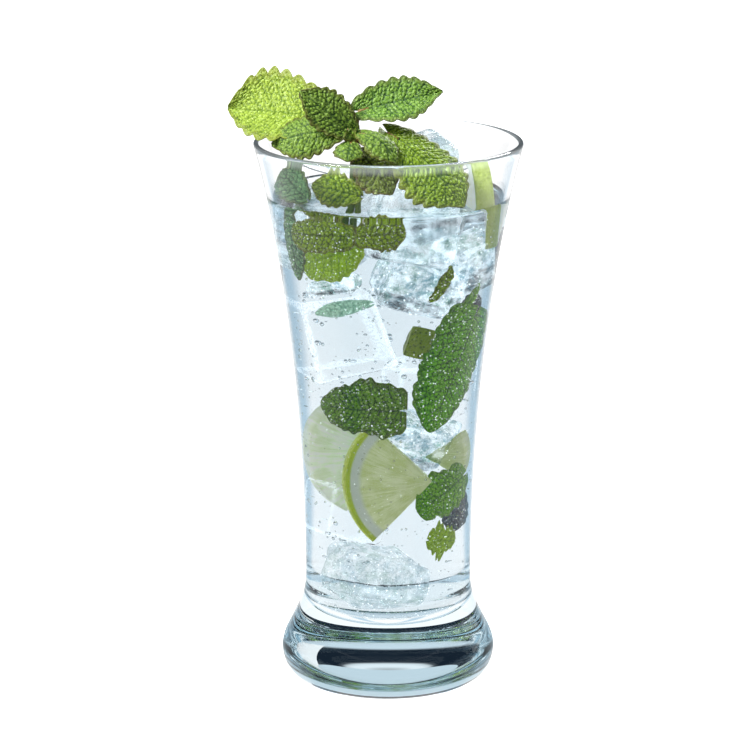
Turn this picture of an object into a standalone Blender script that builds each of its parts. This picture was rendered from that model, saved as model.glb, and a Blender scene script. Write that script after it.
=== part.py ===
"""A gin fizz: a flared long-drink tumbler of clear drink, ice and lime, topped by a sprig of mint.

Everything is in metres. The origin is the middle of the tumbler's flat underside, +Z is up, and -Y is
the front. The parts that show above the drink's surface are solids here. What is wholly sunk isn't.
"""

import math
import random
from dataclasses import dataclass

import bmesh
import bpy
from mathutils import Euler, Vector

# ---- Driving dimensions -------------------------------------------------------------------------
GAP = 0.0003                  # kept between solids that touch

GLASS_HEIGHT = 0.162
RIM_RADIUS = 0.0395           # outer, at the lip
WAIST_RADIUS = 0.02465        # outer, where the body is slimmest
WAIST_HEIGHT = 0.032
FOOT_RADIUS = 0.0317          # outer, where the solid foot bulges most
FOOT_HEIGHT = 0.0085          # height of that bulge's widest ring
BASE_RADIUS = 0.0245          # of the flat underside
LIP_WALL = 0.0018
WAIST_WALL = 0.0028
FLOOR_HEIGHT = 0.0175         # of the inside floor at the middle
FLOOR_CORNER = 0.010          # height over which the floor rounds up into the wall
BODY_FLARE = 2.05             # exponent of the long curve from waist to lip
LIP_FLARE = 12                # exponent of the last turn outwards under the lip
LIP_TURN = 0.0006             # what that turn adds to the radius

DRINK_LEVEL = 0.1455
TURN_STEPS = 48               # flats round each turned piece

ICE_EDGE = 0.0220
ICE_BEVEL = 0.0032
ICE_UNEVEN = 0.0011           # how far a corner of an ice cube strays

LIME_RADIUS = 0.0190
LIME_THICKNESS = 0.0056
LIME_SPREAD = math.radians(78)
LIME_ARC_STEPS = 12
LIME_EDGE = 0.0007            # rounding of the wedge's edges

LEAF_THICKNESS = 0.0005
LEAF_POINT = 0.00035          # half width left at the base and at the tip
LEAF_BLUNTNESS = 0.55         # exponent of the outline at the base; 1 is a pointed end
LEAF_TOOTH = 0.16             # depth of a tooth, as a share of the half width
LEAF_SWEEP = 0.05             # how far the edges run on ahead of the midrib
LEAF_WAVE = 0.05              # ripple of the edges, as a share of the width
STEM_RADIUS = 0.00115
PETIOLE_RADIUS = 0.00062


@dataclass(frozen=True)
class Ice:
    """An ice cube that stands out of the drink: its centre, its turn in degrees and its size."""

    name: str
    centre: tuple
    turn: tuple
    size: tuple
    seed: int


@dataclass(frozen=True)
class Leaf:
    """One mint leaf. face is the side that its upper surface looks to, and the rest are its form."""

    name: str
    base: tuple
    tip: tuple
    width: float
    face: tuple
    bend: float = 0.10        # bow of the midrib, as a share of the length
    cup: float = 0.20         # rise of the edges, as a share of the half width
    lobes: float = 0.10       # how far the base's lobes reach back, as a share of the length
    teeth: int = 8            # along each edge
    fullest: float = 0.50     # where the leaf is widest, as a share of the length
    taper: float = 0.45       # how much slimmer the tip is than the base
    joint: tuple = None       # where its petiole leaves the stem


ICE_CUBES = (
    Ice("ice_cube_back", (0.0086, 0.0140, 0.1472), (9, -11, 22), (1.0, 0.92, 1.02), 4),
    Ice("ice_cube_front", (0.0062, -0.0112, 0.1402), (-8, 14, 8), (1.06, 0.80, 0.96), 9),
    Ice("ice_cube_left", (-0.0160, 0.0040, 0.1365), (12, 9, -24), (0.90, 0.96, 0.94), 15),
)

LIME_PLACE = (0.0229, 0.0064, 0.1436)   # of the wedge's inner corner
LIME_TURN = (-6, -4, -75)               # degrees

STEM_FOOT = (-0.0112, -0.0148, 0.1385)
STEM_NODE = (-0.0099, -0.0155, 0.1652)
SECOND_STEM_FOOT = (-0.0088, -0.0160, 0.1395)

SPRIG_LEAVES = (
    Leaf("broad", (-0.0125, -0.0120, 0.1701), (-0.0461, -0.0060, 0.1722), 0.0240, (0.15, -0.72, 0.68),
         bend=0.02, cup=0.40, lobes=0.06, teeth=9, fullest=0.61, joint=(-0.0102, -0.0148, 0.1650)),
    Leaf("upper", (-0.0104, -0.0170, 0.1670), (-0.0254, -0.0190, 0.1795), 0.0118, (0.30, -0.85, 0.35),
         bend=0.08, joint=(-0.0100, -0.0156, 0.1648)),
    Leaf("lower", (-0.0138, -0.0188, 0.1676), (-0.0333, -0.0176, 0.1638), 0.0128, (-0.10, -0.60, 0.80),
         bend=0.16, cup=-0.25, joint=(-0.0101, -0.0158, 0.1640)),
    Leaf("right", (-0.0085, -0.0130, 0.1729), (0.0155, -0.0100, 0.1779), 0.0134, (-0.10, -0.80, 0.60),
         bend=0.02, cup=0.25, fullest=0.45, taper=0.65, joint=(-0.0098, -0.0152, 0.1652)),
    Leaf("inner", (-0.0082, -0.0180, 0.1672), (0.0020, -0.0250, 0.1599), 0.0090, (0.45, -0.65, 0.62),
         bend=0.20, cup=-0.30, teeth=6, joint=(-0.0097, -0.0160, 0.1646)),
    Leaf("falling", (-0.0002, -0.0140, 0.1667), (0.0208, -0.0240, 0.1473), 0.0210, (0.45, -0.70, 0.55),
         bend=0.10, cup=-0.22, teeth=10, fullest=0.55, joint=(-0.0096, -0.0154, 0.1644)),
    Leaf("under", (-0.0082, -0.0160, 0.1613), (0.0009, -0.0230, 0.1508), 0.0120, (0.15, -0.80, 0.55),
         bend=0.12, cup=-0.20, joint=(-0.0100, -0.0157, 0.1606)),
    Leaf("small", (-0.0107, -0.0200, 0.1650), (-0.0118, -0.0260, 0.1607), 0.0080, (0.0, -0.70, 0.75),
         bend=0.12, cup=-0.25, teeth=5, joint=(-0.0101, -0.0160, 0.1636)),
    Leaf("bud_left", (-0.0099, -0.0160, 0.1645), (-0.0110, -0.0180, 0.1689), 0.0024, (-0.20, -0.90, 0.30),
         teeth=3, joint=(-0.0099, -0.0156, 0.1640)),
    Leaf("bud_right", (-0.0096, -0.0160, 0.1648), (-0.0087, -0.0180, 0.1686), 0.0024, (0.20, -0.90, 0.30),
         teeth=3, joint=(-0.0099, -0.0156, 0.1642)),
)

LOOSE_LEAVES = (
    Leaf("mint_leaf_left", (-0.0232, -0.0135, 0.1478), (-0.0304, -0.0080, 0.1550), 0.0095,
         (-0.55, -0.75, 0.35), teeth=6),
    Leaf("mint_leaf_middle", (-0.0084, -0.0242, 0.1507), (-0.0215, -0.0220, 0.1535), 0.0092,
         (0.0, -0.95, 0.30), bend=0.06, teeth=7),
)


# ---- Small helpers ------------------------------------------------------------------------------
def clear_scene():
    """Removes what the startup file holds."""
    for obj in list(bpy.data.objects):
        bpy.data.objects.remove(obj, do_unlink=True)


def collection(name, hidden=False):
    """A new collection in the scene. A hidden one holds cutters."""
    made = bpy.data.collections.new(name)
    bpy.context.scene.collection.children.link(made)
    made.hide_render = hidden
    return made


def material(name, colour, roughness, transmission=0.0):
    """A Principled material with the part's colour."""
    made = bpy.data.materials.new(name)
    made.use_nodes = True
    shader = made.node_tree.nodes["Principled BSDF"]
    shader.inputs["Base Color"].default_value = (*colour, 1.0)
    shader.inputs["Roughness"].default_value = roughness
    shader.inputs["Transmission Weight"].default_value = transmission
    made.diffuse_color = (*colour, 1.0)
    return made


def put(obj, home, finish=None):
    """Moves an object into a collection, and gives it its material."""
    for holder in list(obj.users_collection):
        holder.objects.unlink(obj)
    home.objects.link(obj)
    if finish is not None:
        obj.data.materials.clear()
        obj.data.materials.append(finish)
    return obj


def active_as(name):
    """The object that a primitive has just made, under its own name."""
    obj = bpy.context.active_object
    obj.name = name
    obj.data.name = name
    return obj


def frozen(obj):
    """The object as a plain mesh: modifiers and caps made real, and the old object removed."""
    name = obj.name
    graph = bpy.context.evaluated_depsgraph_get()
    mesh = bpy.data.meshes.new_from_object(obj.evaluated_get(graph))
    made = bpy.data.objects.new(name + "_mesh", mesh)
    made.matrix_world = obj.matrix_world.copy()
    home = obj.users_collection[0]
    home.objects.link(made)
    bpy.data.objects.remove(obj, do_unlink=True)
    made.name = name
    weld(made)
    return made


def weld(obj, distance=1e-6):
    """Joins points that coincide, such as a curve's caps and its sides."""
    work = bmesh.new()
    work.from_mesh(obj.data)
    bmesh.ops.remove_doubles(work, verts=work.verts, dist=distance)
    bmesh.ops.recalc_face_normals(work, faces=work.faces)
    work.to_mesh(obj.data)
    work.free()


def smoothstep(share):
    """0 to 1 with a level start and end."""
    return share * share * (3 - 2 * share)


# ---- The tumbler --------------------------------------------------------------------------------
def body_radius(height):
    """Outer radius of the tumbler from its waist up."""
    share = (height - WAIST_HEIGHT) / (GLASS_HEIGHT - WAIST_HEIGHT)
    flare = RIM_RADIUS - WAIST_RADIUS - LIP_TURN
    return WAIST_RADIUS + flare * share**BODY_FLARE + LIP_TURN * share**LIP_FLARE


def foot_radius(height):
    """Outer radius of the foot, from its widest ring up to the waist."""
    share = (WAIST_HEIGHT - height) / (WAIST_HEIGHT - FOOT_HEIGHT)
    return WAIST_RADIUS + (FOOT_RADIUS - WAIST_RADIUS) * smoothstep(share**1.3)


def wall_thickness(height):
    """Thickness of the wall, which thins from the waist to the lip."""
    share = max(0.0, (height - WAIST_HEIGHT) / (GLASS_HEIGHT - WAIST_HEIGHT))
    return WAIST_WALL + (LIP_WALL - WAIST_WALL) * share**0.6


def inner_radius(height):
    """Radius of the inside, which rounds in below WAIST_HEIGHT to meet the floor."""
    top_of_corner = FLOOR_HEIGHT + FLOOR_CORNER
    wall = body_radius(max(height, WAIST_HEIGHT)) - wall_thickness(height)
    if height >= top_of_corner:
        return wall
    drop = (top_of_corner - height) / FLOOR_CORNER
    return wall * math.sqrt(max(0.0, 1 - drop**2.6))


def spaced(low, high, count):
    """count heights from low to high, both ends included."""
    return [low + (high - low) * i / (count - 1) for i in range(count)]


def glass_profile():
    """(radius, height) from the middle of the inside floor, up, over the lip, down and under."""
    points = [(0.0, FLOOR_HEIGHT)]
    corner_top = FLOOR_HEIGHT + FLOOR_CORNER
    for rise in (0.012, 0.06, 0.16, 0.34, 0.6):
        height = FLOOR_HEIGHT + FLOOR_CORNER * rise
        points.append((inner_radius(height), height))
    lip_radius = LIP_WALL / 2
    lip_base = GLASS_HEIGHT - lip_radius
    points += [(inner_radius(z), z) for z in spaced(corner_top, lip_base, 9)]
    middle = body_radius(lip_base) - lip_radius
    for angle in (135, 90, 45):
        turn = math.radians(angle)
        points.append((middle + lip_radius * math.cos(turn), lip_base + lip_radius * math.sin(turn)))
    points += [(body_radius(z), z) for z in spaced(lip_base, WAIST_HEIGHT, 9)]
    points += [(foot_radius(z), z) for z in spaced(WAIST_HEIGHT, FOOT_HEIGHT, 7)[1:]]
    for angle in (22.5, 45, 67.5, 90):
        turn = math.radians(angle)
        reach = BASE_RADIUS + (FOOT_RADIUS - BASE_RADIUS) * math.cos(turn)
        points.append((reach, FOOT_HEIGHT * (1 - math.sin(turn))))
    return points + [(0.0, 0.0)]


def drink_profile(gap=GAP):
    """(radius, height) from the middle of the drink's surface, out, and down along the inside."""
    points = [(0.0, DRINK_LEVEL)]
    points += [(inner_radius(z) - gap, z) for z in spaced(DRINK_LEVEL, FLOOR_HEIGHT + FLOOR_CORNER, 8)]
    for rise in (0.6, 0.34, 0.16, 0.06):
        height = FLOOR_HEIGHT + FLOOR_CORNER * rise
        points.append((inner_radius(height) - gap, height + gap))
    return points + [(0.0, FLOOR_HEIGHT + gap)]


def turned(name, profile):
    """A solid of revolution about Z, from (radius, height) points."""
    mesh = bpy.data.meshes.new(name)
    points = [(radius, 0.0, height) for radius, height in profile]
    edges = [(i, i + 1) for i in range(len(points) - 1)]
    mesh.from_pydata(points, edges, [])
    obj = bpy.data.objects.new(name, mesh)
    bpy.context.scene.collection.objects.link(obj)
    screw = obj.modifiers.new("turn", "SCREW")
    screw.steps = screw.render_steps = TURN_STEPS
    screw.use_merge_vertices = True
    screw.merge_threshold = 1e-5
    screw.use_smooth_shade = True
    return obj


# ---- Ice ----------------------------------------------------------------------------------------
def ice_cube(ice, grow=0.0):
    """An uneven cube with rounded edges. grow makes the cutter for its hollow in the drink."""
    bpy.ops.mesh.primitive_cube_add(size=1.0)
    obj = active_as(ice.name)
    stray = random.Random(ice.seed)
    for corner in obj.data.vertices:
        for axis in range(3):
            side = math.copysign(1.0, corner.co[axis])
            half = ICE_EDGE * ice.size[axis] / 2
            corner.co[axis] = side * (half + grow) + stray.uniform(-ICE_UNEVEN, ICE_UNEVEN)
    obj.location = ice.centre
    obj.rotation_euler = Euler([math.radians(a) for a in ice.turn])
    bevel = obj.modifiers.new("melted_edges", "BEVEL")
    bevel.width = ICE_BEVEL
    bevel.segments = 3
    obj.data.shade_smooth()
    return obj


# ---- Lime ---------------------------------------------------------------------------------------
def lime_wedge(name, grow=0.0):
    """A sector cut from a slice of lime, standing on its corner with the rind to the front."""
    outline = bpy.data.curves.new(name, "CURVE")
    outline.dimensions = "2D"
    outline.fill_mode = "BOTH"
    outline.extrude = LIME_THICKNESS / 2 - LIME_EDGE + grow
    outline.bevel_depth = LIME_EDGE
    outline.bevel_resolution = 1
    radius = LIME_RADIUS - LIME_EDGE + grow
    back = (LIME_EDGE - grow) / math.sin(LIME_SPREAD / 2)
    arc = spaced(-LIME_SPREAD / 2, LIME_SPREAD / 2, LIME_ARC_STEPS + 1)
    inset = math.asin((LIME_EDGE - grow) / radius)
    arc = [angle * (1 - 2 * inset / LIME_SPREAD) for angle in arc]
    points = [(back, 0.0)] + [(radius * math.cos(a), radius * math.sin(a)) for a in arc]
    spline = outline.splines.new("POLY")
    spline.points.add(len(points) - 1)
    for point, (x, y) in zip(spline.points, points):
        point.co = (x, y, 0.0, 1.0)
    spline.use_cyclic_u = True
    obj = bpy.data.objects.new(name, outline)
    bpy.context.scene.collection.objects.link(obj)
    upright = Euler((math.radians(90), 0.0, 0.0)).to_matrix().to_4x4()
    turn = Euler([math.radians(a) for a in LIME_TURN]).to_matrix().to_4x4()
    obj.matrix_world = turn @ upright
    obj.location = LIME_PLACE
    bpy.context.view_layer.update()
    return frozen(obj)


# ---- Mint ---------------------------------------------------------------------------------------
def leaf_half_width(leaf, along):
    """Half the leaf's width at a share of its length: an ovate outline with rounded teeth."""
    turn = math.pi * along ** (math.log(0.5) / math.log(leaf.fullest))
    ovate = max(0.0, math.sin(turn)) ** (LEAF_BLUNTNESS + leaf.taper * along)
    tooth = abs(math.sin(math.pi * leaf.teeth * along)) - 0.5
    return LEAF_POINT + leaf.width / 2 * ovate * (1 + LEAF_TOOTH * tooth)


def leaf_point(leaf, along, across):
    """A point of the leaf's middle surface: along runs 0 to 1, and across -1 to 1."""
    base, tip = Vector(leaf.base), Vector(leaf.tip)
    axis = tip - base
    length = axis.length
    axis.normalize()
    side = Vector(leaf.face).cross(axis).normalized()
    up = axis.cross(side)
    half = leaf_half_width(leaf, along)
    sweep = LEAF_SWEEP * across**2 * math.sin(math.pi * along)
    sweep -= leaf.lobes * across**2 * (1 - along) ** 3
    ripple = math.sin(2.5 * math.pi * along + (0.9 if across > 0 else 0.0)) * across**2
    rise = leaf.bend * length * 4 * along * (1 - along)
    rise += leaf.cup * half * abs(across) ** 1.5 + LEAF_WAVE * leaf.width * ripple
    return base + axis * length * (along + sweep) + side * half * across + up * rise


def leaf_solid(leaf, columns, rows):
    """The leaf as a thin wavy solid. Both of its faces have the same triangles."""
    bpy.ops.mesh.primitive_grid_add(x_subdivisions=columns, y_subdivisions=rows, size=2.0)
    obj = active_as(leaf.name)
    for vertex in obj.data.vertices:
        along, across = (vertex.co.x + 1) / 2, vertex.co.y
        vertex.co = leaf_point(leaf, along, across)
    obj.modifiers.new("triangles", "TRIANGULATE")
    skin = obj.modifiers.new("thickness", "SOLIDIFY")
    skin.thickness = LEAF_THICKNESS
    skin.offset = 0.0
    obj.data.shade_smooth()
    return obj


def tube(name, points, radius, sides=2):
    """A round rod through points, closed at both ends."""
    path = bpy.data.curves.new(name, "CURVE")
    path.dimensions = "3D"
    path.bevel_depth = radius
    path.bevel_resolution = sides
    path.use_fill_caps = True
    spline = path.splines.new("POLY")
    spline.points.add(len(points) - 1)
    for point, place in zip(spline.points, points):
        point.co = (*place, 1.0)
    obj = bpy.data.objects.new(name, path)
    bpy.context.scene.collection.objects.link(obj)
    return frozen(obj)


def bowed(start, end, bow, count=5):
    """Points from start to end that bow aside by bow at the middle."""
    start, end, bow = Vector(start), Vector(end), Vector(bow)
    return [start.lerp(end, s) + bow * 4 * s * (1 - s) for s in spaced(0.0, 1.0, count)]


def stems(grow=0.0):
    """The sprig's two stems, which meet at its node. grow makes the cutters for the drink."""
    top = Vector(STEM_NODE) + Vector((0.0004, 0.0, 0.0016))
    longer = Vector((0.0, 0.0, -grow))
    first = bowed(Vector(STEM_FOOT) + longer, top, (0.0002, -0.0006, 0.0), 6)
    second = bowed(Vector(SECOND_STEM_FOOT) + longer, STEM_NODE, (0.0005, 0.0004, 0.0), 6)
    return [
        tube("stem_first", first, STEM_RADIUS + grow),
        tube("stem_second", second, STEM_RADIUS * 0.8 + grow),
    ]


def petiole(leaf):
    """The leaf's stalk, from the stem to a little way up the midrib."""
    inside = leaf_point(leaf, 0.10, 0.0)
    route = bowed(leaf.joint, leaf_point(leaf, 0.0, 0.0), (0.0, 0.0, -0.0005), 4)
    return tube("petiole_" + leaf.name, route + [inside], PETIOLE_RADIUS, 1)


def mint_sprig():
    """The sprig as one solid: stems, petioles and leaves joined by a Boolean union."""
    pieces = stems()
    for leaf in SPRIG_LEAVES:
        large = leaf.width > 0.0115
        small = leaf.width < 0.005
        columns, rows = (18, 8) if large else (6, 4) if small else (12, 6)
        pieces.append(petiole(leaf))
        pieces.append(frozen(leaf_solid(leaf, columns, rows)))
    sprig, others = pieces[0], pieces[1:]
    sprig.name = "mint_sprig"
    joined = collection("sprig_pieces", hidden=True)
    for piece in others:
        put(piece, joined)
    union = sprig.modifiers.new("grown_together", "BOOLEAN")
    union.operation = "UNION"
    union.operand_type = "COLLECTION"
    union.collection = joined
    union.solver = "MANIFOLD"
    sprig = frozen(sprig)
    for piece in list(joined.objects):
        bpy.data.objects.remove(piece, do_unlink=True)
    bpy.data.collections.remove(joined)
    return sprig


# ---- The drink ----------------------------------------------------------------------------------
def cut(obj, cutters):
    """Takes each cutter's shape out of obj."""
    for cutter in cutters:
        cutter.hide_render = True
        cutter.display_type = "WIRE"
        hollow = obj.modifiers.new("round_" + cutter.name, "BOOLEAN")
        hollow.operation = "DIFFERENCE"
        hollow.object = cutter
        hollow.solver = "EXACT"


def main():
    """Builds the drink in its glass."""
    clear_scene()
    parts = collection("gin_fizz")
    cutters = collection("cutters", hidden=True)
    clear_glass = material("clear_glass", (0.86, 0.93, 0.95), 0.02, 0.9)
    clear_drink = material("clear_drink", (0.84, 0.92, 0.94), 0.05, 0.9)
    clear_ice = material("clear_ice", (0.90, 0.95, 0.98), 0.12, 0.7)
    lime = material("lime", (0.62, 0.72, 0.22), 0.45)
    mint = material("mint", (0.13, 0.32, 0.05), 0.55)

    put(turned("glass", glass_profile()), parts, clear_glass)
    drink = put(turned("drink", drink_profile()), parts, clear_drink)
    for ice in ICE_CUBES:
        put(ice_cube(ice), parts, clear_ice)
    put(lime_wedge("lime_wedge"), parts, lime)
    put(mint_sprig(), parts, mint)
    for leaf in LOOSE_LEAVES:
        put(leaf_solid(leaf, 12, 6), parts, mint)

    around = [ice_cube(ice, GAP) for ice in ICE_CUBES]
    around.append(lime_wedge("lime_wedge", GAP))
    around += stems(GAP)
    for cutter in around:
        cutter.name = "cutter_" + cutter.name.split(".")[0]
        put(cutter, cutters)
    cut(drink, around)


main()
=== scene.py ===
"""The looks of a gin fizz: a flared tumbler of clear sparkling drink with ice, lime and mint.

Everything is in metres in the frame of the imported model: the origin is the middle of the tumbler's
flat underside, +Z is up and -Y is the front.
"""

from __future__ import annotations

import logging
import math
import random
from collections.abc import Iterable, Sequence
from dataclasses import dataclass, field
from enum import Enum
from functools import partialmethod

import bmesh
import bpy
import numpy as np
from mathutils import Euler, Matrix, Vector, noise


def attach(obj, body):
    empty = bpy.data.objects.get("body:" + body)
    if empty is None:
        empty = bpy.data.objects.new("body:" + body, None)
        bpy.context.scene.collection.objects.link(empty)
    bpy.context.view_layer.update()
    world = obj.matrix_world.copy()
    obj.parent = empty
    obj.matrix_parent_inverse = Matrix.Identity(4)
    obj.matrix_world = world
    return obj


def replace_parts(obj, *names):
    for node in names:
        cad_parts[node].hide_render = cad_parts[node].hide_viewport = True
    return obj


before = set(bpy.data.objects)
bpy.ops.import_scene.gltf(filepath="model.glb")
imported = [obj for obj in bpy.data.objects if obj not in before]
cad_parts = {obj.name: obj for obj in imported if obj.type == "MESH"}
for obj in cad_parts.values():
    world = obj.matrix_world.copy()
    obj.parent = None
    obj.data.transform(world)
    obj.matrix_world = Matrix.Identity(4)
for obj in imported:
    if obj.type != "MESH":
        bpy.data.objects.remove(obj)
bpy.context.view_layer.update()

LOG = logging.getLogger("gin_fizz")
Colour = tuple[float, float, float]
Point = tuple[float, float, float]
Faces = list[tuple[int, ...]]
Profile = list[tuple[float, float]]  # (radius, height) points of a solid of revolution
BODY = "root"
SURFACE = 0.1455                     # height of the drink's surface
WHITE: Colour = (1.0, 1.0, 1.0)
BLACK: Colour = (0.0, 0.0, 0.0)


# ---- Node trees ---------------------------------------------------------------------------------
class Signal:
    """An output socket of a node tree, whose arithmetic adds Math nodes to the tree."""

    def __init__(self, graph: Graph, socket: bpy.types.NodeSocket) -> None:
        """Wraps a socket.

        Args:
            graph: The tree under construction.
            socket: One of its output sockets.
        """
        self.graph = graph
        self.socket = socket

    def _math(self, operation: str, other: Signal | float = 0.0, swapped: bool = False) -> Signal:
        """Adds a Math node.

        Args:
            operation: What the node does, such as ADD.
            other: The value besides this one.
            swapped: Whether the other value comes first.

        Returns:
            The result.
        """
        first, second = (other, self) if swapped else (self, other)
        return self.graph.node("ShaderNodeMath", {"operation": operation}, {0: first, 1: second})

    __add__ = partialmethod(_math, "ADD")
    __radd__ = partialmethod(_math, "ADD", swapped=True)
    __sub__ = partialmethod(_math, "SUBTRACT")
    __rsub__ = partialmethod(_math, "SUBTRACT", swapped=True)
    __mul__ = partialmethod(_math, "MULTIPLY")
    __rmul__ = partialmethod(_math, "MULTIPLY", swapped=True)
    __truediv__ = partialmethod(_math, "DIVIDE")
    __pow__ = partialmethod(_math, "POWER")
    fold = partialmethod(_math, "ABSOLUTE")
    sine = partialmethod(_math, "SINE")
    rounded = partialmethod(_math, "ROUND")

    def beside(self, name: str) -> Signal:
        """Another output of the same node."""
        return Signal(self.graph, self.socket.node.outputs[name])

    def clamped(self) -> Signal:
        """The value held between 0 and 1."""
        return self.graph.node("ShaderNodeClamp", {}, {"Value": self})

    def band(self, low: float, high: float) -> Signal:
        """A mask that rises smoothly from 0 at low to 1 at high, or falls if low lies above high."""
        limits = {"Value": self, "From Min": low, "From Max": high}
        return self.graph.node("ShaderNodeMapRange", {"interpolation_type": "SMOOTHSTEP"}, limits)


class Graph:
    """A node tree under construction."""

    def __init__(self, tree: bpy.types.NodeTree) -> None:
        """Wraps a tree."""
        self.tree = tree

    def node(
        self,
        kind: str,
        settings: dict[str, object] | None = None,
        inputs: dict[str | int, object] | None = None,
        output: str | int = 0,
    ) -> Signal:
        """Adds a node.

        Args:
            kind: The node's type, such as ShaderNodeMath.
            settings: Its properties, which are set first. "stops" is a ramp's (place, colour) list.
            inputs: A value or a Signal for each named or numbered input socket.
            output: The output socket that is wanted.

        Returns:
            That output.
        """
        made = self.tree.nodes.new(kind)
        for key, value in (settings or {}).items():
            if key == "stops":
                self.stops(made.color_ramp, value)
            else:
                setattr(made, key, value)
        for key, value in (inputs or {}).items():
            self.join(made.inputs[key], value)
        return Signal(self, made.outputs[output])

    @staticmethod
    def stops(ramp: bpy.types.ColorRamp, stops: Sequence[tuple[float, Colour]]) -> None:
        """Gives a ramp its stops.

        Args:
            ramp: The ramp.
            stops: The place from 0 to 1 and the colour of each stop.
        """
        while len(ramp.elements) < len(stops):
            ramp.elements.new(0.5)
        for element, (place, colour) in zip(ramp.elements, stops):
            element.position = place
            element.color = (*colour, 1.0)

    def join(self, socket: bpy.types.NodeSocket, value: object) -> None:
        """Links a Signal to a socket, or sets the socket's own value.

        Args:
            socket: The input socket.
            value: A Signal, or the value.
        """
        if isinstance(value, Signal):
            self.tree.links.new(value.socket, socket)
        elif socket.type == "RGBA" and len(value) == 3:
            socket.default_value = (*value, 1.0)
        else:
            socket.default_value = value


class Shader(Graph):
    """A material's node tree, round one Principled shader."""

    def __init__(self, name: str) -> None:
        """Starts a material.

        Args:
            name: The material's name.
        """
        self.material = bpy.data.materials.new(name)
        self.material.use_nodes = True
        super().__init__(self.material.node_tree)
        self.principled = self.tree.nodes["Principled BSDF"]
        self.output = self.tree.nodes["Material Output"]

    def set(self, **values: object) -> None:
        """Sets or links the Principled shader's sockets, whose names have _ for a space."""
        for name, value in values.items():
            self.join(self.principled.inputs[name.replace("_", " ")], value)

    def place(self, scale: Point = (1.0, 1.0, 1.0)) -> Signal:
        """Object coordinates, stretched by scale."""
        coordinates = self.node("ShaderNodeTexCoord", output="Object")
        return self.node("ShaderNodeMapping", {}, {"Vector": coordinates, "Scale": scale})

    def height(self) -> Signal:
        """The height above the table, in metres."""
        return self.node("ShaderNodeSeparateXYZ", {}, {0: self.place()}, "Z")

    def attribute(self, name: str) -> Signal:
        """A number that the mesh holds for each point."""
        return self.node("ShaderNodeAttribute", {"attribute_name": name}, output="Fac")

    def noise(self, place: Signal, scale: float, detail: float = 3.0, rough: float = 0.5) -> Signal:
        """Noise from 0 to 1 with scale features to the metre."""
        inputs = {"Vector": place, "Scale": scale, "Detail": detail, "Roughness": rough}
        return self.node("ShaderNodeTexNoise", {}, inputs, "Fac")

    def cells(self, place: Signal, scale: float) -> Signal:
        """Distance to the nearest of scale cell centres to the metre."""
        return self.node("ShaderNodeTexVoronoi", {}, {"Vector": place, "Scale": scale}, "Distance")

    def mix(self, mask: Signal | float, low: object, high: object) -> Signal:
        """A colour between low, where mask is 0, and high, where it is 1."""
        return self.node("ShaderNodeMix", {"data_type": "RGBA"}, {0: mask, 6: low, 7: high}, 2)

    def bump(self, height: Signal, distance: float) -> None:
        """Feeds the Normal socket from a height, which is 1 at distance metres."""
        self.set(Normal=self.node("ShaderNodeBump", {}, {"Height": height, "Distance": distance}))

    def absorb(self, colour: Colour, density: float) -> None:
        """Fills the solid with a medium that takes density of the light to the metre."""
        medium = self.node("ShaderNodeVolumeAbsorption", {}, {"Color": colour, "Density": density})
        self.join(self.output.inputs["Volume"], medium)


# ---- Finishes -----------------------------------------------------------------------------------
@dataclass(frozen=True)
class ClearFinish:
    """Something that light passes through: glass, drink or air."""

    name: str
    ior: float
    painted_glint: float = 0.0          # painted glint: light that it gives off by itself, standing for the glints of a lip or a bubble
    painted_glint_from: float = -1.0    # height above which it has that light
    medium: Colour = WHITE
    density: float = 0.0
    mirror: float = 1.0           # strength of the reflections seen square on
    painted_glint_tint: Colour = (0.9, 0.97, 1.0)
    painted_glint_fade: float = 0.002   # height over which that light fades out downwards

    def material(self) -> bpy.types.Material:
        """Makes the Principled material with full transmission.

        Returns:
            The material.
        """
        shader = Shader(self.name)
        shader.set(Base_Color=WHITE, IOR=self.ior, Transmission_Weight=1.0)
        shader.set(Roughness=0.0, Specular_Tint=(self.mirror,) * 3)
        # painted glint: above a height the solid gives off a faint white light of its own
        if self.painted_glint:
            lit = shader.height().band(self.painted_glint_from - self.painted_glint_fade, self.painted_glint_from)
            glow = shader.mix(lit, BLACK, self.painted_glint_tint)
            shader.set(Emission_Color=glow, Emission_Strength=self.painted_glint)
        if self.density:
            shader.absorb(self.medium, self.density)
        return shader.material


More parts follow.
